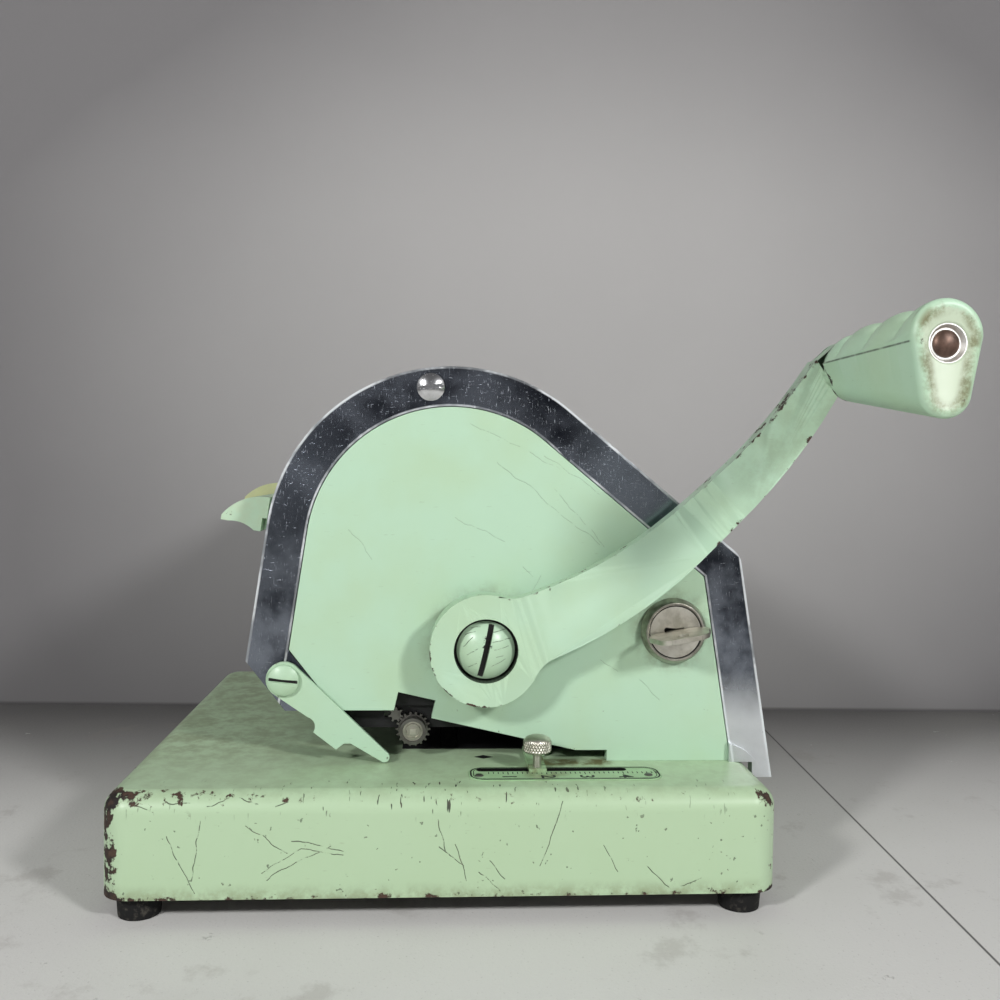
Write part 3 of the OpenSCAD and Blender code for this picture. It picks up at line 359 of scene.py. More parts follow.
# the enamel's colours and how soon it chips
enamelSet = {
    "mint": (177, 207, 181),
    "baseMint": (176, 200, 166),
    "gaugeMint": (160, 196, 152),
    "tabMint": (182, 208, 182),
    "mintAged": (174, 198, 162),         # yellower patches
    "cream": (204, 208, 158),
    "chip": (30, 24, 22),
    "chipBrown": (78, 58, 46),
    "grimeAndShade": (112, 112, 78),
    "bareAndShade": (16, 15, 14),                # dark joint lines and slot edges, and painted shade in screw slots and recesses
    "lipFrom": 0.705,                    # wear at which the browned lip around a chip starts
    "chipFrom": 0.735,                   # and at which the paint is gone
    "chipFull": 0.755,
}

# single scratches on the base, the head's side and the hub screw: Y and Z of both their ends
baseScratches = [
    (-117.7, 37.8, -106.0, 13.4), (-102.9, 44.4, -107.3, 18.9), (-77.4, 22.4, -61.6, 32.1),
    (-61.6, 32.1, -43.5, 29.8), (-65.8, 36.0, -43.6, 31.5), (-74.9, 19.4, -49.1, 33.7),
    (-2.5, 32.4, 7.0, 24.5), (13.9, 21.8, 23.9, 13.0), (-3.9, 44.5, 0.1, 30.6),
    (40.9, 24.1, 50.0, 51.9), (67.6, 32.6, 74.0, 20.7), (86.1, 24.5, 97.7, 13.0),
    (101.7, 14.7, 111.3, 17.2), (3.9, 33.6, 8.8, 18.4), (19.0, 26.1, 25.5, 18.2),
    (-84.6, 42.6, -67.0, 30.9), (-131.0, 51.0, -122.0, 49.5), (-118.0, 53.0, -108.0, 51.2),
    (-101.0, 50.0, -94.0, 52.5), (-88.0, 53.4, -80.0, 52.0), (-72.0, 50.6, -66.0, 52.4)]

panelScratches = [
    (9.4, 215.0, 32.9, 204.6), (22.2, 197.5, 71.5, 159.0), (44.8, 201.1, 71.1, 182.6),
    (35.7, 148.8, 40.0, 142.2), (37.8, 134.6, 43.3, 144.6), (50.2, 185.2, 73.5, 158.1),
    (37.7, 202.4, 52.0, 194.1), (72.5, 104.4, 81.2, 98.6), (91.9, 94.8, 101.7, 85.2),
    (-45.7, 164.9, -35.4, 151.0), (3.0, 170.1, 26.5, 160.9)]

hubScratches = [
    (7.4, 113.6, 12.0, 117.9), (8.0, 118.5, 13.2, 120.3), (9.4, 110.4, 14.0, 113.4),
    (20.4, 120.4, 27.0, 121.8), (21.2, 116.0, 28.4, 117.4), (20.6, 104.4, 26.2, 107.6),
    (11.0, 121.6, 15.4, 122.8), (22.0, 108.8, 24.8, 109.4), (10.2, 104.2, 13.8, 106.6),
    (21.6, 112.0, 27.6, 113.6)]

# where the finishes find the pieces, in millimetres; a pair is Y and Z
centres = {
    "hub": (17.6, 111.3),
    "lock": (107.2, 118.7),
    "pointer": (-75.3, 95.3),
    "head": (1.8, 155.0),
}
armEdges = {"upper": ((-31.0, 331.0), 205.4), "lower": ((-36.5, 307.0), 216.5)}   # centre and radius
headSet = {
    "radius": 86.6,
    "sides": ((171.7, 86.6), (50.7, 86.6), (9.3, 135.5)),   # the way each faces, and its distance
}
slotSet = {"x": 99.0, "middle": 48.5, "halfRun": 32.2, "radius": 2.3}   # the paper stop's slot


# enamel with chips where edge is high, faint stains, painted shade and fine scuffs; marks adds single
# scratches
def enamel(name, colour, edge=None, marks=None, grimeAndShade=None, gloss=0.28, seed=0.0, bareAndShade=None, pale=None):
    material, root = newFinish(name)
    place = millimetres(root)
    shift = (seed, seed * 1.7, seed * 0.6)
    fine = place.mottle(5.0, 6.0, 0.66, shift)
    coarse = place.mottle(38.0, 3.0, 0.5, shift)
    scuffs = place.mottle(2.2, 3.0, 0.6, shift, (1.0, 0.35, 2.4))
    level = fine * 0.8 + coarse * 0.2
    if edge:
        level = level + edge(place)
    chips = level.rise(enamelSet["chipFrom"], enamelSet["chipFull"])
    lip = level.rise(enamelSet["lipFrom"], enamelSet["chipFrom"])
    tone = (coarse.rise(0.35, 0.75) * 0.55).blend(paint(*colour), paint(*enamelSet["mintAged"]))
    tone = (scuffs.rise(0.66, 0.78) * 0.22).blend(tone, paint(*enamelSet["grimeAndShade"]))
    if pale:
        tone = (pale(place) * 0.7).blend(tone, paint(186, 192, 170))
    # stains, and on the base and the grip painted shade as well
    if grimeAndShade:
        stainAndShade = grimeAndShade(place) * place.mottle(9.0, 5.0, 0.7, shift).rise(0.34, 0.66)
        tone = stainAndShade.blend(tone, paint(*enamelSet["grimeAndShade"]))
    if marks:
        sway = place.mottle(16.0, 3.0, 0.5, shift)
        lift = place.mottle(13.0, 3.0, 0.5, (seed + 40.0, seed, 9.0))
        bend = sway.make("ShaderNodeCombineXYZ", {}, {1: sway * 5.0 - 2.5, 2: lift * 5.0 - 2.5})
        near = scratchLines(place.vector("ADD", place, bend), marks["lines"])
        breaks = place.mottle(4.0, 4.0, 0.7, shift)
        wide = marks["width"]
        line = near.fall(wide * 0.35, wide + breaks * wide) * breaks.rise(0.36, 0.5)
        if "face" in marks:
            line = line * marks["face"](place)
        chips = chips.most(line * marks["depth"])
        if "nicks" in marks:
            chips = chips.most(marks["nicks"](place))
    tone = (lip * 0.5).blend(tone, paint(*enamelSet["chipBrown"]))
    metalTone = fine.rise(0.45, 0.72).blend(paint(*enamelSet["chip"]), paint(*enamelSet["chipBrown"]))
    tone = chips.blend(tone, metalTone)
    # dark joint lines and slot edges, and painted shade in screw slots and the hub's recess
    if bareAndShade:
        tone = bareAndShade(place).blend(tone, paint(*enamelSet["bareAndShade"]))
    rough = gloss + scuffs * 0.16 + chips * 0.35
    skin = place.mottle(0.9, 2.0, 0.5)
    height = skin * 0.06 - chips
    coat(root, tone, rough, height=height, depth=0.00018, gleam=0.42)
    return material


# a wear map is 0 on open surface, and up to about 0.35 on an edge that has lost its paint
def baseWear(place):
    x, y, z = place.axes()
    side = abs(x) - 121.0
    front = abs(y) - 137.0
    top = z - 47.0
    lip = side.least(top).most(front.least(top)).rise(-0.5, 6.0)
    corner = (abs(x) - 118.0).least(abs(y) - 134.0).rise(0.5, 7.5)
    frontNear = y.fall(-140.0, -120.0) * x.rise(0.0, 60.0)   # the corner that is knocked most
    nearLeft = corner * frontNear
    foot = z.fall(11.5, 14.5)
    frontTop = lip * y.fall(-110.0, -30.0) * x.rise(40.0, 120.0)
    nearTop = z.rise(54.0, 56.0) * y.fall(-142.0, -60.0) * x.rise(80.0, 118.0)
    spread = (abs(x) - 112.0).least(abs(y) - 126.0).rise(0.0, 12.0) * frontNear
    slotEdge = slotDistance(place).fall(0.4, 2.6) * z.rise(55.0, 55.9)
    return (lip * 0.11 + corner * 0.11 + nearLeft * 0.09 + spread * 0.06 + foot * 0.17 + frontTop * 0.09
            + nearTop * 0.08 + slotEdge * 0.12)


# short nicks across the base's top edge on the handle's side, and fine ones below it
def baseNicks(place):
    x, y, z = place.axes()
    dashes = place.mottle(2.4, 2.0, 0.5, (3.0, 8.0, 1.0), (0.30, 1.5, 0.30))
    slanted = place.mottle(2.6, 2.0, 0.5, (30.0, 2.0, 7.0), (0.30, 0.9, 0.9))
    along = 0.45 + y.rise(-90.0, -30.0) * y.fall(30.0, 90.0) * 0.55
    edge = z.rise(43.0, 50.0) * x.rise(108.0, 116.0) * along
    face = x.rise(120.0, 124.0) * z.fall(44.0, 50.0)
    across = (dashes + edge * 0.04).rise(0.70, 0.73) * edge * 0.9
    return across.most(slanted.rise(0.705, 0.73) * face * 0.6)


# the paper stop's slot reads dark at its edge
def slotBare(place):
    return slotDistance(place).fall(0.12, 0.32) * place.axes()[2].rise(54.0, 54.3)


# the base's face on the handle's side
def nearFace(place):
    return place.axes()[0].rise(120.0, 124.0)


# the head's face on the handle's side
def rightFace(place):
    return place.axes()[0].rise(80.0, 81.0)


# distance from the edge of the paper stop's slot
def slotDistance(place):
    x, y, z = place.axes()
    past = (abs(y - slotSet["middle"]) - slotSet["halfRun"]).most(0.0)
    across = abs(x - slotSet["x"])
    squared = across * across + past * past
    return abs(squared.maths("SQRT", squared) - slotSet["radius"])


# rust around the paper stop's screw and at the throat's end, dirt low down and on the top, and the head's
# shadow painted on the top's front left
def baseGrimeAndShade(place):
    x, y, z = place.axes()
    rust = place.vector("DISTANCE", place, (101.0, 44.0, 56.0), output=1).fall(6.0, 18.0) * 0.8
    throatEnd = lineAway(place, (46.0, 56.0), (74.0, 56.0))[0].fall(1.0, 10.0) * x.rise(78.0, 84.0)
    rust = rust.most(throatEnd * x.fall(88.0, 95.0) * 1.3)
    low = z.fall(11.0, 19.0) * 0.55
    headShadeFrontLeft = y.fall(-110.0, -30.0) * x.fall(40.0, 115.0)   # painted shade: the head's shadow on the top's half under the index levers
    top = z.rise(50.0, 56.0) * (0.20 + headShadeFrontLeft * 0.32)
    return rust.most(low).most(top)


# distance from an endless straight line through two places in Y and Z
def lineDistance(place, start, end):
    x, y, z = place.axes()
    run = Vector((end[0] - start[0], end[1] - start[1])).normalized()
    return abs((y - start[0]) * run.y - (z - start[1]) * run.x)


# distance from the middle of a screw's slot, turned by so many degrees
def slotLineAway(place, centre, degrees):
    turn = math.radians(degrees)
    return lineDistance(place, centre, (centre[0] + math.cos(turn), centre[1] + math.sin(turn)))


def panelWear(place):
    slope = lineDistance(place, (-6.9, 76.6), (61.7, 61.2)).fall(0.0, 2.6)
    notch = lineDistance(place, (-110.0, 80.3), (-24.5, 80.3)).fall(0.0, 1.8)
    lock = abs(ringDistance(place, centres["lock"], 16.5)).fall(0.0, 2.5)
    return slope * 0.14 + notch * 0.1 + lock * 0.06


# how far a place lies outside a circle in Y and Z
def ringDistance(place, centre, radius):
    flat = place.vector("MULTIPLY", place, (0.0, 1.0, 1.0))
    return flat.vector("DISTANCE", flat, (0.0, centre[0], centre[1]), output=1) - radius


# darker in halos just outside the lock and the hub on the handle's side
def panelDarkHalos(place):
    x, y, z = place.axes()
    lock = ringDistance(place, centres["lock"], 15.0).fall(0.0, 9.0) * 0.45
    hub = ringDistance(place, centres["hub"], 25.0).fall(0.0, 8.0) * 0.3
    return lock.most(hub) * x.rise(0.0, 1.0)


def armWear(place):
    x, y, z = place.axes()
    upper = abs(ringDistance(place, *armEdges["upper"])).fall(0.0, 2.2)
    lower = abs(ringDistance(place, *armEdges["lower"])).fall(0.0, 2.2)
    beyond = ringDistance(place, centres["hub"], 0.0)
    off = beyond.rise(27.0, 34.0)
    hub = abs(beyond - 25.7).fall(0.0, 2.0)
    recess = abs(beyond - 14.7).fall(0.0, 1.4)
    lowLeft = (y + z).fall(95.0, 125.0)
    bend = y.rise(105.0, 135.0) * y.fall(150.0, 175.0)
    return ((upper + lower) * off * 0.13 + hub * (0.06 + lowLeft * 0.16) + recess * 0.09
            + bend * 0.075)


# darker on the arm's outer stretch past its bend, towards the grip
def armDarkerPastBend(place):
    x, y, z = place.axes()
    return y.rise(112.0, 140.0) * x.rise(104.0, 112.0) * 0.22


# painted shade in the recess ring around the hub screw
def hubRecessShade(place):
    return ringDistance(place, centres["hub"], 14.72).fall(-0.1, 0.15) * place.axes()[0].fall(100.3, 100.8)


# painted shade in the hub screw's slot and around its rim in the recess, with chips around the slot's
# middle
def screwSlotShadeAndChips(place):
    x, y, z = place.axes()
    slotLine = slotLineAway(place, centres["hub"], 78.0)
    reach = ringDistance(place, centres["hub"], 0.0)
    ragged = place.mottle(2.0, 4.0, 0.7)
    slot = slotLine.fall(1.15, 1.45) * reach.fall(11.0 + ragged * 2.0, 12.6)
    chipped = slotLine.fall(1.4, 2.6) * ragged.rise(0.56, 0.62) * reach.fall(6.0, 8.0)
    return slot.most(chipped).most(reach.rise(13.25, 13.4))


# painted shade in the pointer screw's slot
def pointerSlotShade(place):
    slotLine = slotLineAway(place, centres["pointer"], -6.0)
    reach = ringDistance(place, centres["pointer"], 0.0)
    return slotLine.fall(0.55, 0.85) * reach.fall(6.4, 6.9)


# how far a place on the grip's end lies inside its rim
def gripInside(place):
    away, share = lineAway(place, (168.2, 242.6), (168.2, 223.3))
    return 13.0 - share * 3.5 - away


def gripWear(place):
    x, y, z = place.axes()
    root = x.fall(139.0, 146.0) * z.fall(236.0, 250.0)
    end = x.rise(218.6, 219.5)
    rim = abs(gripInside(place) - 3.0).fall(0.2, 2.4) * end
    return root * 0.27 + rim * 0.13


# a darker ring around the end's sunken face, and painted shade in the creases between the finger humps on
# top
def gripRingAndCreaseShade(place):
    x, y, z = place.axes()
    ring = abs(gripInside(place) - 3.6).fall(0.6, 3.6) * x.rise(218.6, 219.6)
    turns = x * 0.2376 - 35.88                   # half a turn from one finger crease to the next
    wave = turns.maths("SINE", turns)
    valleyShade = abs(wave).fall(0.0, 0.25) * z.rise(244.0, 252.0)
    return ring.most(valleyShade * 0.3)


# a thin brown joint line along both sides of the grip
def gripBare(place):
    x, y, z = place.axes()
    side = ringDistance(place, (168.2, 240.6), 12.2).rise(-0.3, 0.1)
    worn = place.mottle(6.0, 4.0, 0.6).rise(0.3, 0.55)
    return abs(z - 240.6).fall(0.15, 0.5) * side * (0.35 + worn * 0.4) * x.fall(216.5, 218.0)


# the worn, paler middle of the grip's end
def gripPale(place):
    speckle = place.mottle(1.6, 5.0, 0.7)
    return (gripInside(place) + speckle * 4.0).rise(4.0, 6.5) * place.axes()[0].rise(218.4, 219.4)


def coverWear(place):
    x, y, z = place.axes()
    seam = abs(y - 24.0).fall(0.0, 1.6) * z.rise(200.0, 220.0)
    chin = z.fall(80.5, 84.0)
    return seam * 0.1 + chin * 0.1


def pointerWear(place):
    head = ringDistance(place, centres["pointer"], 8.0)
    return abs(head).fall(0.0, 0.9) * 0.1 + place.axes()[2].fall(58.0, 62.0) * 0.1


mint, baseMint, gaugeMint = (enamelSet[name] for name in ("mint", "baseMint", "gaugeMint"))
baseMarks = {"lines": baseScratches, "width": 0.16, "depth": 0.85, "face": nearFace, "nicks": baseNicks}
panelMarks = {"lines": panelScratches, "width": 0.09, "depth": 0.45, "face": rightFace}
hubMarks = {"lines": hubScratches, "width": 0.12, "depth": 0.7}
finishes = {
    "base": enamel("baseEnamel", baseMint, baseWear, baseMarks, baseGrimeAndShade, 0.30, 3.0, slotBare),
    "panel": enamel("panelEnamel", mint, panelWear, panelMarks, panelDarkHalos, seed=11.0),
    "cover": enamel("coverEnamel", mint, coverWear, seed=23.0),
    "arm": enamel("armEnamel", mint, armWear, grimeAndShade=armDarkerPastBend, seed=31.0, bareAndShade=hubRecessShade),
    "hubScrew": enamel("hubScrewEnamel", mint, marks=hubMarks, gloss=0.22, seed=37.0, bareAndShade=screwSlotShadeAndChips),
    "grip": enamel("gripEnamel", mint, gripWear, grimeAndShade=gripRingAndCreaseShade, gloss=0.34, seed=47.0,
                   bareAndShade=gripBare, pale=gripPale),
    "pointer": enamel("pointerEnamel", mint, pointerWear, seed=59.0, bareAndShade=pointerSlotShade),
    "gauge": enamel("gaugeEnamel", gaugeMint, grimeAndShade=baseGrimeAndShade, gloss=0.36, seed=67.0, bareAndShade=slotBare),
}

# metals: the clean colour and its tarnish
metalSet = {
    "screw": ((214, 215, 216), (150, 150, 152)),
    "steel": ((120, 118, 114), (84, 80, 76)),
    "nickel": ((208, 205, 194), (160, 155, 140)),
    "lockRing": ((182, 179, 168), (108, 104, 94)),
    "lockFace": ((208, 205, 194), (150, 145, 130)),
    "blacked": ((12, 12, 13), (26, 26, 28)),
    "rusty": ((112, 88, 76), (38, 28, 24)),
    "bore": ((232, 232, 228), (198, 196, 190)),
    "spring": ((132, 130, 128), (88, 84, 80)),
}
toneSet = {
    "band": (150, 158, 170),             # bright plating that mirrors a dim room
    # the band's upper front, lighter as a painted reflection
    "holeShade": (12, 12, 13),
    "rustSpot": (38, 28, 24),
    "rubber": (20, 20, 20),
    "inkedRubber": (24, 20, 26),
    "ink": (18, 20, 20),
}


# metal with clouds of tarnish and rust spots; scored is how far brushing dulls it
def metal(name, tones, spots, rough, metallic=1.0, scored=0.0, seed=0.0, holeShade=None):
    colour, tarnish = tones
    material, root = newFinish(name)
    place = millimetres(root)
    shift = (seed, seed * 0.7, seed * 1.3)
    cloud = place.mottle(9.0, 5.0, 0.6, shift)
    speck = place.mottle(1.6, 4.0, 0.65, shift)
    brushed = place.mottle(1.1, 3.0, 0.6, shift, (0.3, 1.0, 5.0))
    tone = (cloud.rise(0.38, 0.68) * 0.7).blend(paint(*colour), paint(*tarnish))
    worn = (speck * 0.6 + cloud * 0.4).rise(0.62, 0.68)
    tone = (worn * spots).blend(tone, paint(*toneSet["rustSpot"]))
    # painted shade in holes and grooves
    if holeShade:
        tone = holeShade(place).blend(tone, paint(*toneSet["holeShade"]))
    coat(root, tone, rough + cloud * 0.16 + worn * 0.3 + brushed * scored, metallic - worn * spots * 0.8,
         height=brushed * 0.4 - worn * spots, depth=0.00006)
    return material


# painted shade in the keyhole and in the groove around the lock's face
def keyholeShade(place):
    groove = abs(ringDistance(place, centres["lock"], 12.3)).fall(0.1, 0.4)
    middle = lineAway(place, (103.0, 119.6), (111.4, 118.6))[0].fall(1.0, 1.5)
    return groove.most(middle)


# how far a place lies outside the head's outline
def headAway(place):
    x, y, z = place.axes()
    ring = ringDistance(place, centres["head"], headSet["radius"])
    middle, height = centres["head"]
    planes = None
    for degrees, reach in headSet["sides"]:
        across, up = math.cos(math.radians(degrees)), math.sin(math.radians(degrees))
        plane = y * across + z * up - (middle * across + height * up + reach)
        planes = plane if planes is None else planes.most(plane)
    return planes + (ring - planes) * y.fall(56.0, 57.0) * z.rise(167.0, 168.0)


# plated band: dark mirror with painted reflections in paler clouds and on its upper front, slope and rear
# foot, painted highlights along its edges, fine scratches, a scuffed stretch and a duller rear foot
def bandFinish():
    material, root = newFinish("bandChrome")
    place = millimetres(root)
    x, y, z = place.axes()
    cloud = place.mottle(26.0, 4.0, 0.55)
    streaks = place.mottle(1.5, 4.0, 0.7, (4.0, 2.0, 9.0), (1.0, 3.0, 0.4))
    crossed = place.mottle(1.4, 4.0, 0.7, (14.0, 5.0, 2.0), (1.0, 0.5, 2.6))
    speck = place.mottle(1.1, 3.0, 0.6, (7.0, 7.0, 7.0))
    frontUpReflection = y.fall(-80.0, -30.0) * z.rise(120.0, 200.0)
    slope = y.rise(50.0, 80.0) * z.rise(150.0, 170.0)
    rearFootReflectionAndDulling = y.rise(122.0, 130.0) * z.fall(72.0, 102.0)
    # painted reflections: paler clouds, and lighter tones on the upper front, the slope and the rear foot
    tone = cloud.rise(0.36, 0.62).blend(paint(50, 54, 62), paint(126, 132, 142))
    tone = (frontUpReflection * 0.6).blend(tone, paint(*toneSet["band"]))
    tone = (slope * 0.6).blend(tone, paint(168, 178, 188))
    tone = (rearFootReflectionAndDulling * (0.6 + cloud * 0.6)).blend(tone, paint(222, 226, 228))
    lines = streaks.rise(0.60, 0.72).most(crossed.rise(0.62, 0.74))
    scuff = place.vector("DISTANCE", place, (85.0, 38.0, 216.0), output=1).fall(8.0, 46.0)
    tone = (lines * (0.34 + scuff * 0.5)).blend(tone, paint(206, 210, 216))
    away = headAway(place)
    broken = place.mottle(30.0, 4.0, 0.6, (9.0, 3.0, 1.0)).rise(0.40, 0.56)
    # painted highlights along the band's outer edge and its inner line
    rimHighlights = abs(away + 0.5).fall(0.2, 0.9).most(abs(away + 18.0).fall(0.2, 0.8)) * (0.35 + broken * 0.6)
    tone = rimHighlights.blend(tone, paint(232, 236, 238))
    spots = speck.rise(0.70, 0.76) * rearFootReflectionAndDulling
    tone = (spots * 0.7).blend(tone, paint(60, 58, 56))
    coat(root, tone, 0.14 + lines * 0.22 + rimHighlights * 0.3 + rearFootReflectionAndDulling * 0.2 + cloud * 0.12, 1.0,
         height=lines, depth=0.00004)
    return material


def rubberFinish(name, colour):
    material, root = newFinish(name)
    place = millimetres(root)
    dust = place.mottle(3.0, 5.0, 0.7)
    tone = (dust.rise(0.5, 0.72) * 0.5).blend(paint(*colour), paint(96, 92, 84))
    coat(root, tone, 0.72 + dust * 0.2, height=dust, depth=0.0001, gleam=0.3)
    return material


# an index lever: coloured tab outside the head, plain steel inside it
def leverFinish(name, colour):
    material, root = newFinish(name)
    place = millimetres(root)
    reach = ringDistance(place, centres["head"], 87.5)
    outside = reach.rise(-0.1, 0.1)
    cloud = place.mottle(7.0, 4.0, 0.6)
    fine = place.mottle(2.4, 5.0, 0.66)
    tone = (cloud.rise(0.35, 0.7) * 0.25).blend(paint(*colour), paint(186, 188, 156))
    tip = reach.rise(14.0, 22.0)
    chips = (fine + tip * 0.06).rise(0.70, 0.73)
    tone = chips.blend(tone, paint(70, 58, 44))
    plain = (cloud.rise(0.4, 0.7) * 0.6).blend(paint(104, 102, 98), paint(62, 58, 54))
    tone = outside.blend(plain, tone)
    coat(root, tone, 0.42 - outside * 0.12 + chips * 0.2, 1.0 - outside, height=fine - chips,
         depth=0.00008)
    return material


def printFinish(name, colour):
    material, root = newFinish(name)
    place = millimetres(root)
    wear = place.mottle(1.4, 5.0, 0.7)
    tone = (wear.rise(0.58, 0.70) * 0.5).blend(paint(*colour), paint(150, 172, 144))
    coat(root, tone, 0.5 + wear * 0.2, gleam=0.4)
    return material


finishes["band"] = bandFinish()
finishes["screw"] = metal("screwPlate", metalSet["screw"], 0.35, 0.10, seed=2.0)
finishes["steel"] = metal("plainSteel", metalSet["steel"], 0.5, 0.30, scored=0.1, seed=5.0)
finishes["nickel"] = metal("dullNickel", metalSet["nickel"], 0.45, 0.26, scored=0.1, seed=8.0)
finishes["lockRing"] = metal("lockRing", metalSet["lockRing"], 0.5, 0.28, seed=12.0)
finishes["lockFace"] = metal("lockFace", metalSet["lockFace"], 0.45, 0.26, scored=0.1, seed=8.0,
                             holeShade=keyholeShade)
finishes["dark"] = metal("blackedSteel", metalSet["blacked"], 0.3, 0.5, 0.2, seed=15.0)
finishes["rusty"] = metal("rustyStud", metalSet["rusty"], 0.8, 0.36, 0.6, seed=19.0)
finishes["bore"] = metal("boreNickel", metalSet["bore"], 0.25, 0.40, seed=25.0)
finishes["spring"] = metal("springWire", metalSet["spring"], 0.2, 0.28, seed=21.0)
finishes["rubber"] = rubberFinish("blackRubber", toneSet["rubber"])
finishes["ink"] = rubberFinish("inkedRubber", toneSet["inkedRubber"])
finishes["mintTab"] = leverFinish("mintTab", enamelSet["tabMint"])
finishes["creamTab"] = leverFinish("creamTab", enamelSet["cream"])
finishes["print"] = printFinish("blackPrint", toneSet["ink"])
print("writer: finishes mixed")

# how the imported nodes' edges are rounded
softSet = {
    "weld": 0.002,                       # points closer than this many millimetres are joined
    "flat": 1.0,                         # degrees up to which faces count as one
    "corner": 26.0,                      # degrees from which an edge is rounded
    "steps": 2,
    "fullness": 0.6,
}


# smooth shading, kept sharp where faces meet at more than the angle
def shadeSmooth(mesh, angle=32.0):
    mesh.shade_smooth()
    mesh.set_sharp_from_angle(angle=math.radians(angle))


# copies a node's mesh, joins its flat faces and rounds its sharp edges by edge millimetres
def softened(node, finish, edge, soft):
    source = nodes[node]
    mesh = source.data.copy()
    grown = bmesh.new()
    grown.from_mesh(mesh)
    bmesh.ops.remove_doubles(grown, verts=grown.verts, dist=soft["weld"] * millimetre)
    bmesh.ops.dissolve_limit(grown, angle_limit=math.radians(soft["flat"]), verts=grown.verts,
                             edges=grown.edges)
    corner = math.radians(soft["corner"])
    sharp = [line for line in grown.edges
             if len(line.link_faces) == 2 and line.calc_face_angle(0.0) > corner]
    bmesh.ops.bevel(grown, geom=sharp, offset=edge * millimetre, segments=soft["steps"],
                    profile=soft["fullness"], affect="EDGES", clamp_overlap=True)
    grown.to_mesh(mesh)
    grown.free()
    mesh.materials.clear()
    mesh.materials.append(finish)
    shadeSmooth(mesh)
    piece = bpy.data.objects.new(node + "Piece", mesh)
    bpy.context.scene.collection.objects.link(piece)
    weighted = piece.modifiers.new("flatFaces", "WEIGHTED_NORMAL")
    weighted.keep_sharp = True
    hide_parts(node)
    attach(piece, body_of(source)[0])
    return piece


# a new mesh on a body
def newPiece(name, points, faces, finish, body, angle=32.0):
    mesh = bpy.data.meshes.new(name)
    mesh.from_pydata([Vector(point) * millimetre for point in points], [], faces)
    mesh.validate()
    mesh.materials.append(finish)
    shadeSmooth(mesh, angle)
    piece = bpy.data.objects.new(name, mesh)
    bpy.context.scene.collection.objects.link(piece)
    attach(piece, body)
    return piece


softenedNodes = {
    # node: (slot, finish, rounding of its edges in millimetres)
    "base_pan": ("mint_enamel", "base", 0.5),
    "side_plate_right": ("mint_enamel", "panel", 0.5),
    "side_plate_left": ("mint_enamel", "panel", 0.5),
    "side_trim_right": ("bright_trim", "band", 0.7),
    "side_trim_left": ("bright_trim", "band", 0.7),
    "front_cover": ("mint_enamel", "cover", 0.3),
    "rear_cover": ("mint_enamel", "cover", 0.3),
    "handle_arm": ("mint_enamel", "arm", 1.3),
    "hub_screw": ("mint_enamel", "hubScrew", 0.3),
    "trim_screws": ("bright_trim", "screw", 0.3),
    "pointer_screw": ("mint_enamel", "pointer", 0.35),
    "line_pointer": ("mint_enamel", "pointer", 0.4),
    "lock_body": ("nickel", "lockRing", 0.4),
    "lock_plug": ("nickel", "lockFace", 0.35),
    "key": ("nickel", "nickel", 0.4),
    "rubber_feet": ("rubber", "rubber", 0.6),
    "stop_slider": ("steel", "gauge", 0.25),
    "gauge_plate": ("mint_enamel", "gauge", 0.12),
    "gauge_rivets": ("steel", "steel", 0.1),
    "ink_carriage": ("dark_metal", "dark", 0.25),
    "ink_roller": ("rubber", "ink", 0.3),
    "shaft_bushes": ("nickel", "nickel", 0.4),
}
for leverNumber in range(1, 10):
    tabSlot = "mint_plastic" if leverNumber < 5 else "cream_plastic"
    tabFinish = "mintTab" if leverNumber < 5 else "creamTab"
    softenedNodes[f"index_lever_{leverNumber}"] = (tabSlot, tabFinish, 0.7)
pieces = {}
for nodeName, (slotName, finishName, rounding) in softenedNodes.items():
    pieces[nodeName] = softened(nodeName, finishes[finishName], rounding, softSet)

armSet = {
    "corner": (0.0, 154.4, 242.6),       # a place on the new end
    "end": (0.0, 0.404, 0.915),          # square to the new end
    "face": (0.9063, -0.3165, -0.2800),  # square to the arm's outer stretch
    "from": 140.0,                       # nothing moves in front of this
    "boss": (168.2, 239.9),              # the boss that carries the grip keeps its shape
    "bossRadius": 11.2,
}


# pulls the corner of the arm's outer end in, level with the middle of the grip
def shortenArm(piece, arm):
    corner = Vector(arm["corner"]) * millimetre
    boss = Vector(arm["boss"]) * millimetre
    end, face = Vector(arm["end"]), Vector(arm["face"])
    way = end - face * end.dot(face)
    for point in piece.data.vertices:
        besideBoss = (point.co.yz - boss).length > arm["bossRadius"] * millimetre
        beyond = (point.co - corner).dot(end)
        if beyond > 0.0 and point.co.y > arm["from"] * millimetre and besideBoss:
            point.co -= way * (beyond / way.dot(end))


stopUnderside = 56.58                    # just above the print on the scale plate


# lifts the paper stop's underside clear of the printed scale
def liftStop(piece, level):
    for point in piece.data.vertices:
        point.co.z = max(point.co.z, level * millimetre)


shortenArm(pieces["handle_arm"], armSet)
liftStop(pieces["stop_slider"], stopUnderside)
print("writer: visible nodes softened")

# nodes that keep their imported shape, with their finish
plainNodes = {
    "bottom_plate": "steel", "base_posts": "steel", "foot_screws": "steel", "bed_plate": "dark",
    "guide_posts": "steel", "tie_rods": "steel", "tie_screws": "steel", "head_screws": "steel",
    "shaft_blocks": "steel", "lever_shaft": "steel", "detent_bar": "steel",
    "detent_springs": "spring", "carriage_rails": "dark", "lock_nut": "nickel",
    "spring_posts": "steel", "main_shaft": "steel", "crank_arms": "steel", "lift_plates": "steel",
    "platen_yoke": "steel", "platen_beam": "steel", "platen_strip": "rubber",
    "return_springs": "spring", "roller_gear": "steel", "feed_pinion": "steel",
    "lock_cam": "steel",
}
for nodeName, finishName in plainNodes.items():
    for holder in nodes[nodeName].material_slots:
        holder.material = finishes[finishName]


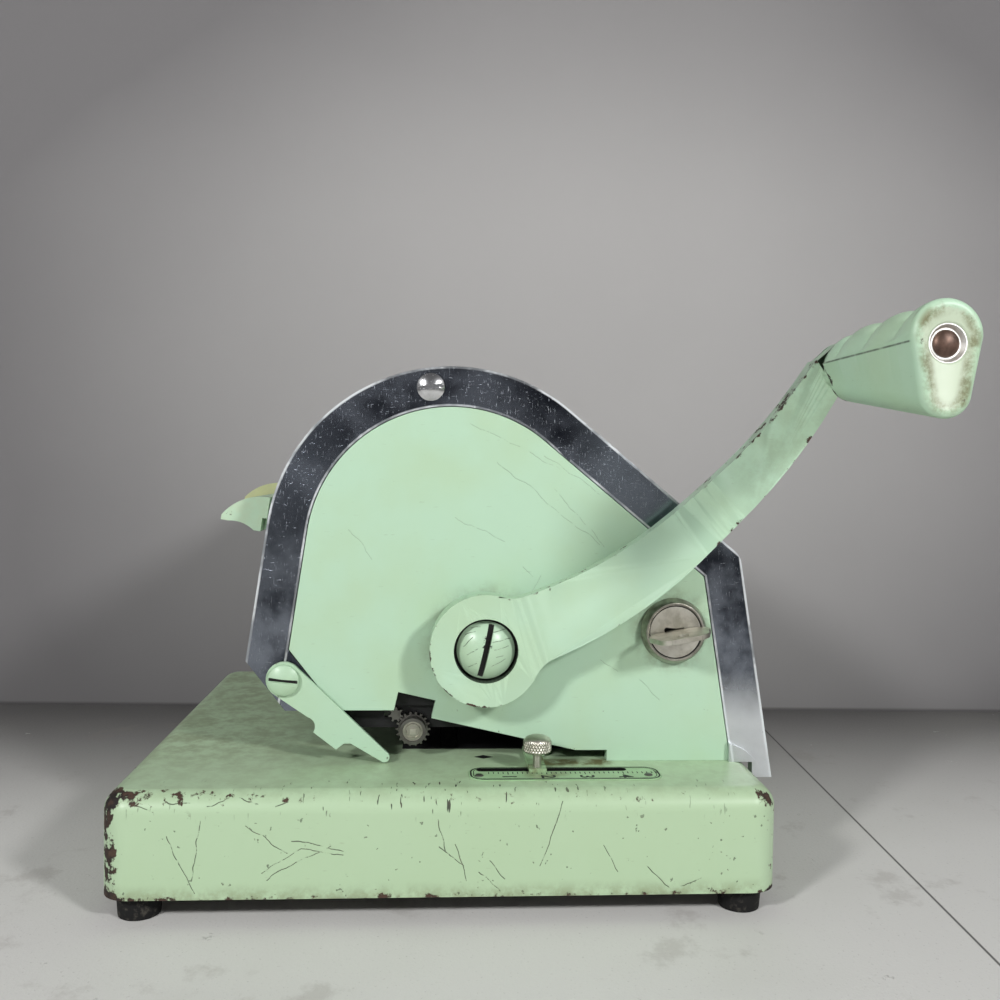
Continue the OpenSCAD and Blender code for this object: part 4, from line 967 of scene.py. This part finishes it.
# the grip, in millimetres; places along it count from its start
gripSet = {
    "start": 138.0,                      # where the grip leaves the arm, across the machine
    "length": 82.0,
    "width": 26.0,
    "top": 253.4,                        # height of its top at the arm
    "topRise": 2.2,
    "drop": 28.4,                        # from top to bottom at the arm
    "dropEnd": 41.8,                     # and at the outer end
    "axis": (168.2, 239.9),
    "bore": 13.8,
    "boreDepth": 8.0,
    "narrowing": 3.5,                    # by which its lower edge is rounded more tightly
    "hump": 4.4,                         # depth of the creases between the finger humps
    "humps": 3.1,
    "humpStart": 13.0,                   # the first crease
    "humpFullness": 0.55,
    "humpEnd": 5.0,                      # over which the humps fade at the outer end
    "shoulder": 5.0,                     # drop of its top at the arm
    "shoulderLength": 9.0,
    "root": ((0.0, 1.4), (0.7, 0.5), (1.6, 0.0)),     # place along and inset of its first rings
    "firstRing": 3.0,
    "ringStep": 1.25,
    "round": 2.6,                        # rounding of the outer rim
    "roundSteps": 6,
    "face": ((0.05, 3.4), (0.35, 4.2)),  # the slightly sunken end: depth and inset
    "lip": ((0.35, 0.9), (0.5, 0.4), (0.9, 0.0)),     # the bore's rim: depth and widening
    "around": 96,
}


# how far the top lies below a finger hump's crown at a place along the grip
def humpAt(along, grip):
    wave = abs(math.sin(math.pi * (along - grip["humpStart"]) / (grip["length"] / grip["humps"])))
    return grip["hump"] * (wave ** grip["humpFullness"] - 1.0)


def gripRing(along, inset, grip):
    share = along / grip["length"]
    upper = grip["width"] / 2
    lower = upper - grip["narrowing"]
    top = grip["top"] + grip["topRise"] * share
    bottom = grip["top"] - grip["drop"] + (grip["drop"] - grip["dropEnd"] + grip["topRise"]) * share
    ease = min(1.0, max(0.0, (grip["length"] - grip["humpEnd"] - along) / grip["humpEnd"]))
    shoulder = grip["shoulder"] * max(0.0, 1.0 - along / grip["shoulderLength"]) ** 2
    ring = []
    for step in range(grip["around"]):
        angle = 2 * math.pi * step / grip["around"]
        high = math.sin(angle) >= 0
        radius = upper - inset if high else lower - inset
        if high:
            fade = math.sin(angle) ** 0.5
            radius += (humpAt(along, grip) * ease - shoulder) * fade
        middle = top - upper if high else bottom + lower
        ring.append((grip["start"] + along, grip["axis"][0] + radius * math.cos(angle),
                     middle + radius * math.sin(angle)))
    return ring


def roundRing(along, radius, grip):
    y, z = grip["axis"]
    turns = [2 * math.pi * step / grip["around"] for step in range(grip["around"])]
    return [(grip["start"] + along, y + radius * math.cos(turn), z + radius * math.sin(turn))
            for turn in turns]


# joins rings of the same number of points into one skin, closed at both ends
def skin(rings):
    count = len(rings[0])
    points = [point for ring in rings for point in ring]
    faces = []
    for row in range(len(rings) - 1):
        for step in range(count):
            after = (step + 1) % count
            faces.append((row * count + step, (row + 1) * count + step, (row + 1) * count + after,
                          row * count + after))
    faces.append(tuple(range(count)))
    faces.append(tuple(range(len(points) - 1, len(points) - count - 1, -1)))
    return points, faces


def makeGrip(grip):
    length = grip["length"]
    rings = [gripRing(along, inset, grip) for along, inset in grip["root"]]
    station = grip["firstRing"]
    while station < length - grip["round"]:
        rings.append(gripRing(station, 0.0, grip))
        station += grip["ringStep"]
    for step in range(grip["roundSteps"] + 1):
        turn = math.pi / 2 * step / grip["roundSteps"]
        rings.append(gripRing(length - grip["round"] * (1 - math.sin(turn)),
                              grip["round"] * (1 - math.cos(turn)), grip))
    rings += [gripRing(length - depth, inset, grip) for depth, inset in grip["face"]]
    bore = grip["bore"] / 2
    rings += [roundRing(length - depth, bore + widening, grip) for depth, widening in grip["lip"]]
    rings.append(roundRing(length - grip["boreDepth"], bore, grip))
    points, faces = skin(rings)
    piece = newPiece("gripPiece", points, faces, finishes["grip"], "handle", 40.0)
    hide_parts("grip")


makeGrip(gripSet)
print("writer: grip lofted")


# a solid turned about an axis from (along, radius) pairs; knurl cuts it with crossing grooves
def turned(name, profile, centre, axis, finish, body, around=72, knurl=None):
    rings = []
    for along, radius in profile:
        ring = []
        for step in range(around):
            angle = 2 * math.pi * step / around
            reach = radius
            if knurl and knurl["from"] <= along <= knurl["to"]:
                first = math.sin(knurl["teeth"] * angle + along * knurl["lead"])
                second = math.sin(knurl["teeth"] * angle - along * knurl["lead"])
                reach += knurl["depth"] * (max(first, second) - 1.0)
            a, b = reach * math.cos(angle), reach * math.sin(angle)
            point = (along, a, b) if axis == "x" else (a, b, along)
            ring.append(tuple(place + offset for place, offset in zip(centre, point)))
        rings.append(ring)
    points, faces = skin(rings if axis == "z" else rings[::-1])
    return newPiece(name, points, faces, finish, body, 50.0)


studSet = {
    "centre": (0.0, 168.2, 239.9),
    "start": 126.0,                      # from the arm's boss to the bottom of the bore
    "shoulder": 212.0,
    "top": 219.8,
    "shank": 4.0,
    "head": 4.9,
    "dome": 2.4,                         # height of its domed part
    "linerRadius": 6.86,                 # the bore's bright lining
    "linerWall": 0.35,
    "linerEnd": 219.2,
    "linerDepth": 1.5,                   # to the lining's floor
    "linerTaper": 1.1,
}


# the grip's stud with its domed head, and the lining of the bore it sits in
def makeStud(stud):
    start, shoulder, shank, head = stud["start"], stud["shoulder"], stud["shank"], stud["head"]
    profile = [(start, 0.3), (start, shank), (shoulder, shank), (shoulder, head)]
    for step in range(9):
        turn = math.pi / 2 * step / 8
        height = stud["top"] - stud["dome"] * (1 - math.sin(turn))
        profile.append((height, max(0.15, head * math.cos(turn))))
    piece = turned("gripStudPiece", profile, stud["centre"], "x", finishes["rusty"], "handle")
    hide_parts("grip_stud")
    outer, end = stud["linerRadius"], stud["linerEnd"]
    inner = outer - stud["linerWall"]
    floor = end - stud["linerDepth"]
    liner = [(shoulder + 0.1, 0.3), (shoulder + 0.1, outer), (end, outer), (end, inner),
             (floor, inner - stud["linerTaper"]), (floor, 0.3)]
    turned("boreLining", liner, stud["centre"], "x", finishes["bore"], "handle")


makeStud(studSet)

thumbSet = {
    "place": (99.0, 41.8),
    "underHead": 64.8,
    "headHeight": 7.9,
    "headRadius": 6.5,
    "stemRadius": 2.0,
    "nutRadius": 5.0,
    "nutLow": 50.7,
    "nutHigh": 53.2,
    "sideSteps": 21,                     # rings up its side, 0.2 mm apart
    "domeSteps": 9,
    "knurl": {"from": 65.6, "to": 70.0, "teeth": 30, "lead": 2.6, "depth": 0.30},
}


def makeThumbScrew(thumb):
    head, radius = thumb["underHead"], thumb["headRadius"]
    low, high, nut, stem = thumb["nutLow"], thumb["nutHigh"], thumb["nutRadius"], thumb["stemRadius"]
    profile = [(low, 0.4), (low, nut), (high, nut), (high, stem), (head, stem), (head, radius - 0.8),
               (head + 0.5, radius - 0.2)]
    profile += [(head + 0.8 + 0.2 * step, radius) for step in range(thumb["sideSteps"] + 1)]
    flat = head + 0.8 + 0.2 * thumb["sideSteps"]
    dome = head + thumb["headHeight"] - flat
    for step in range(1, thumb["domeSteps"]):
        turn = math.pi / 2 * step / thumb["domeSteps"]
        profile.append((flat + dome * math.sin(turn), radius * 0.97 * math.cos(turn)))
    profile.append((head + thumb["headHeight"], 0.15))
    piece = turned("thumbScrewPiece", profile, (*thumb["place"], 0.0), "z", finishes["nickel"], "thumb",
                   176, thumb["knurl"])
    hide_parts("thumb_screw")


makeThumbScrew(thumbSet)

knobSet = {
    "centre": (0.0, -15.6, 69.7),
    "face": 81.4,                        # bottom of the cup in the roller's knob
    "rings": ((-0.2, 4.7), (0.05, 4.7), (0.05, 3.8), (0.55, 3.6), (0.55, 3.0), (0.1, 2.8),
              (0.1, 1.9), (0.2, 0.2)),   # height over the face and radius
    "square": 2.7,
    "squareHeight": 0.9,
}


# the rings and the squared centre in the roller's knob
def makeKnobCentre(knob):
    face, half = knob["face"], knob["square"] / 2
    profile = [(face + height, radius) for height, radius in knob["rings"]]
    turned("knobRings", profile, knob["centre"], "x", finishes["lockRing"], "roller", 48)
    corners = ((-half, -half), (half, -half), (half, half), (-half, half))
    square = [(x, knob["centre"][1] + y, knob["centre"][2] + z)
              for x in (face, face + knob["squareHeight"]) for y, z in corners]
    sides = [(0, 1, 2, 3), (7, 6, 5, 4), (0, 4, 5, 1), (1, 5, 6, 2), (2, 6, 7, 3), (3, 7, 4, 0)]
    newPiece("knobSquare", square, sides, finishes["nickel"], "roller")


makeKnobCentre(knobSet)
print("writer: thumb screw and knob turned")


# the paper scale's print
scaleSet = {
    "low": (95.0, 10.4),                 # corners of the plate, millimetres
    "high": (114.0, 97.8),
    "surface": 56.5,
    "film": 0.05,                        # thickness of the print
    "corner": 7.0,
    "lines": ((0.5, 0.75), (1.9, 0.35)),   # inset and width of the two border lines
    "numbers": 4,
    "numbersX": 109.4,
    "firstNumber": 28.1,
    "spacing": 17.57,
    "ticks": 8,                          # ticks from one number to the next
    "ticksBefore": 4,                    # before the first number
    "ticksAfter": 8,                     # from the last number on
    "tickFrom": 102.8,
    "tickShort": 2.4,
    "tickLong": 3.4,
    "tickWidth": 0.42,
    "fontSize": 9.18,
    "boldness": 0.12,
}


def roundedOutline(low, high, radius, inset, steps=8):
    outline = []
    left, near = low[0] + inset, low[1] + inset
    right, far = high[0] - inset, high[1] - inset
    bend = max(radius - inset, 0.4)
    corners = ((right - bend, far - bend, 0), (left + bend, far - bend, 90),
               (left + bend, near + bend, 180), (right - bend, near + bend, 270))
    for x, y, start in corners:
        for step in range(steps + 1):
            angle = math.radians(start + 90.0 * step / steps)
            outline.append((x + bend * math.cos(angle), y + bend * math.sin(angle)))
    return outline


# a thin printed film between two outlines, or inside one
def film(name, outer, inner, height, thick, finish):
    count = len(outer)
    points, faces = [], []
    for level in (height, height + thick):
        points += [(x, y, level) for x, y in outer]
        points += [(x, y, level) for x, y in inner or []]
    span = len(points) // 2
    for step in range(count):
        after = (step + 1) % count
        faces.append((step, after, span + after, span + step))
        if inner:
            faces.append((count + step, span + count + step, span + count + after, count + after))
            faces.append((span + step, span + after, span + count + after, span + count + step))
            faces.append((after, step, count + step, count + after))
    if not inner:
        faces.append(tuple(range(span, 2 * span)))
        faces.append(tuple(range(span - 1, -1, -1)))
    newPiece(name, points, faces, finish, "base")


def bar(x0, x1, y, width):
    return [(x0, y - width / 2), (x1, y - width / 2), (x1, y + width / 2), (x0, y + width / 2)]


def printedText(name, text, x, y, scale):
    curve = bpy.data.curves.new(name, "FONT")
    curve.body = text
    curve.align_x = "CENTER"
    curve.align_y = "CENTER"
    curve.size = scale["fontSize"] * millimetre
    curve.extrude = scale["film"] * millimetre / 2
    curve.offset = scale["boldness"] * millimetre
    holder = bpy.data.objects.new(name + "Draft", curve)
    bpy.context.scene.collection.objects.link(holder)
    bpy.context.view_layer.update()
    mesh = bpy.data.meshes.new_from_object(holder.evaluated_get(bpy.context.evaluated_depsgraph_get()))
    bpy.data.objects.remove(holder)
    middle = Vector((x, y, scale["surface"] + scale["film"] / 2)) * millimetre
    mesh.transform(Matrix.Translation(middle))
    mesh.materials.clear()
    mesh.materials.append(finishes["print"])
    piece = bpy.data.objects.new(name, mesh)
    bpy.context.scene.collection.objects.link(piece)
    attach(piece, "base")


def makeScale(scale):
    for index, (inset, width) in enumerate(scale["lines"]):
        outer = roundedOutline(scale["low"], scale["high"], scale["corner"], inset)
        inner = roundedOutline(scale["low"], scale["high"], scale["corner"], inset + width)
        film(f"scaleBorder{index + 1}", outer, inner, scale["surface"], scale["film"], finishes["print"])
    tick = scale["spacing"] / scale["ticks"]
    start, before = scale["tickFrom"], scale["ticksBefore"]
    for index in range(-before, (scale["numbers"] - 1) * scale["ticks"] + scale["ticksAfter"]):
        long = index % scale["ticks"] == 0
        reach = scale["tickLong"] if long else scale["tickShort"]
        outline = bar(start, start + reach, scale["firstNumber"] + index * tick, scale["tickWidth"])
        film(f"scaleTick{index + before + 1}", outline, None, scale["surface"], scale["film"],
             finishes["print"])
    for index in range(scale["numbers"]):
        printedText(f"scaleNumber{index + 1}", str(index + 1), scale["numbersX"],
                    scale["firstNumber"] + index * scale["spacing"], scale)


makeScale(scaleSet)

markSet = {"place": (76.9, 18.2), "long": 4.6, "wide": 3.0, "surface": 56.0, "film": 0.05}


# the small dark diamond that marks the printing line
def makeMark(mark):
    x, y = mark["place"]
    corners = [(x - mark["wide"], y), (x, y - mark["long"]), (x + mark["wide"], y), (x, y + mark["long"])]
    film("lineMark", corners, None, mark["surface"], mark["film"], finishes["print"])


makeMark(markSet)
print("writer: scale and marks printed")
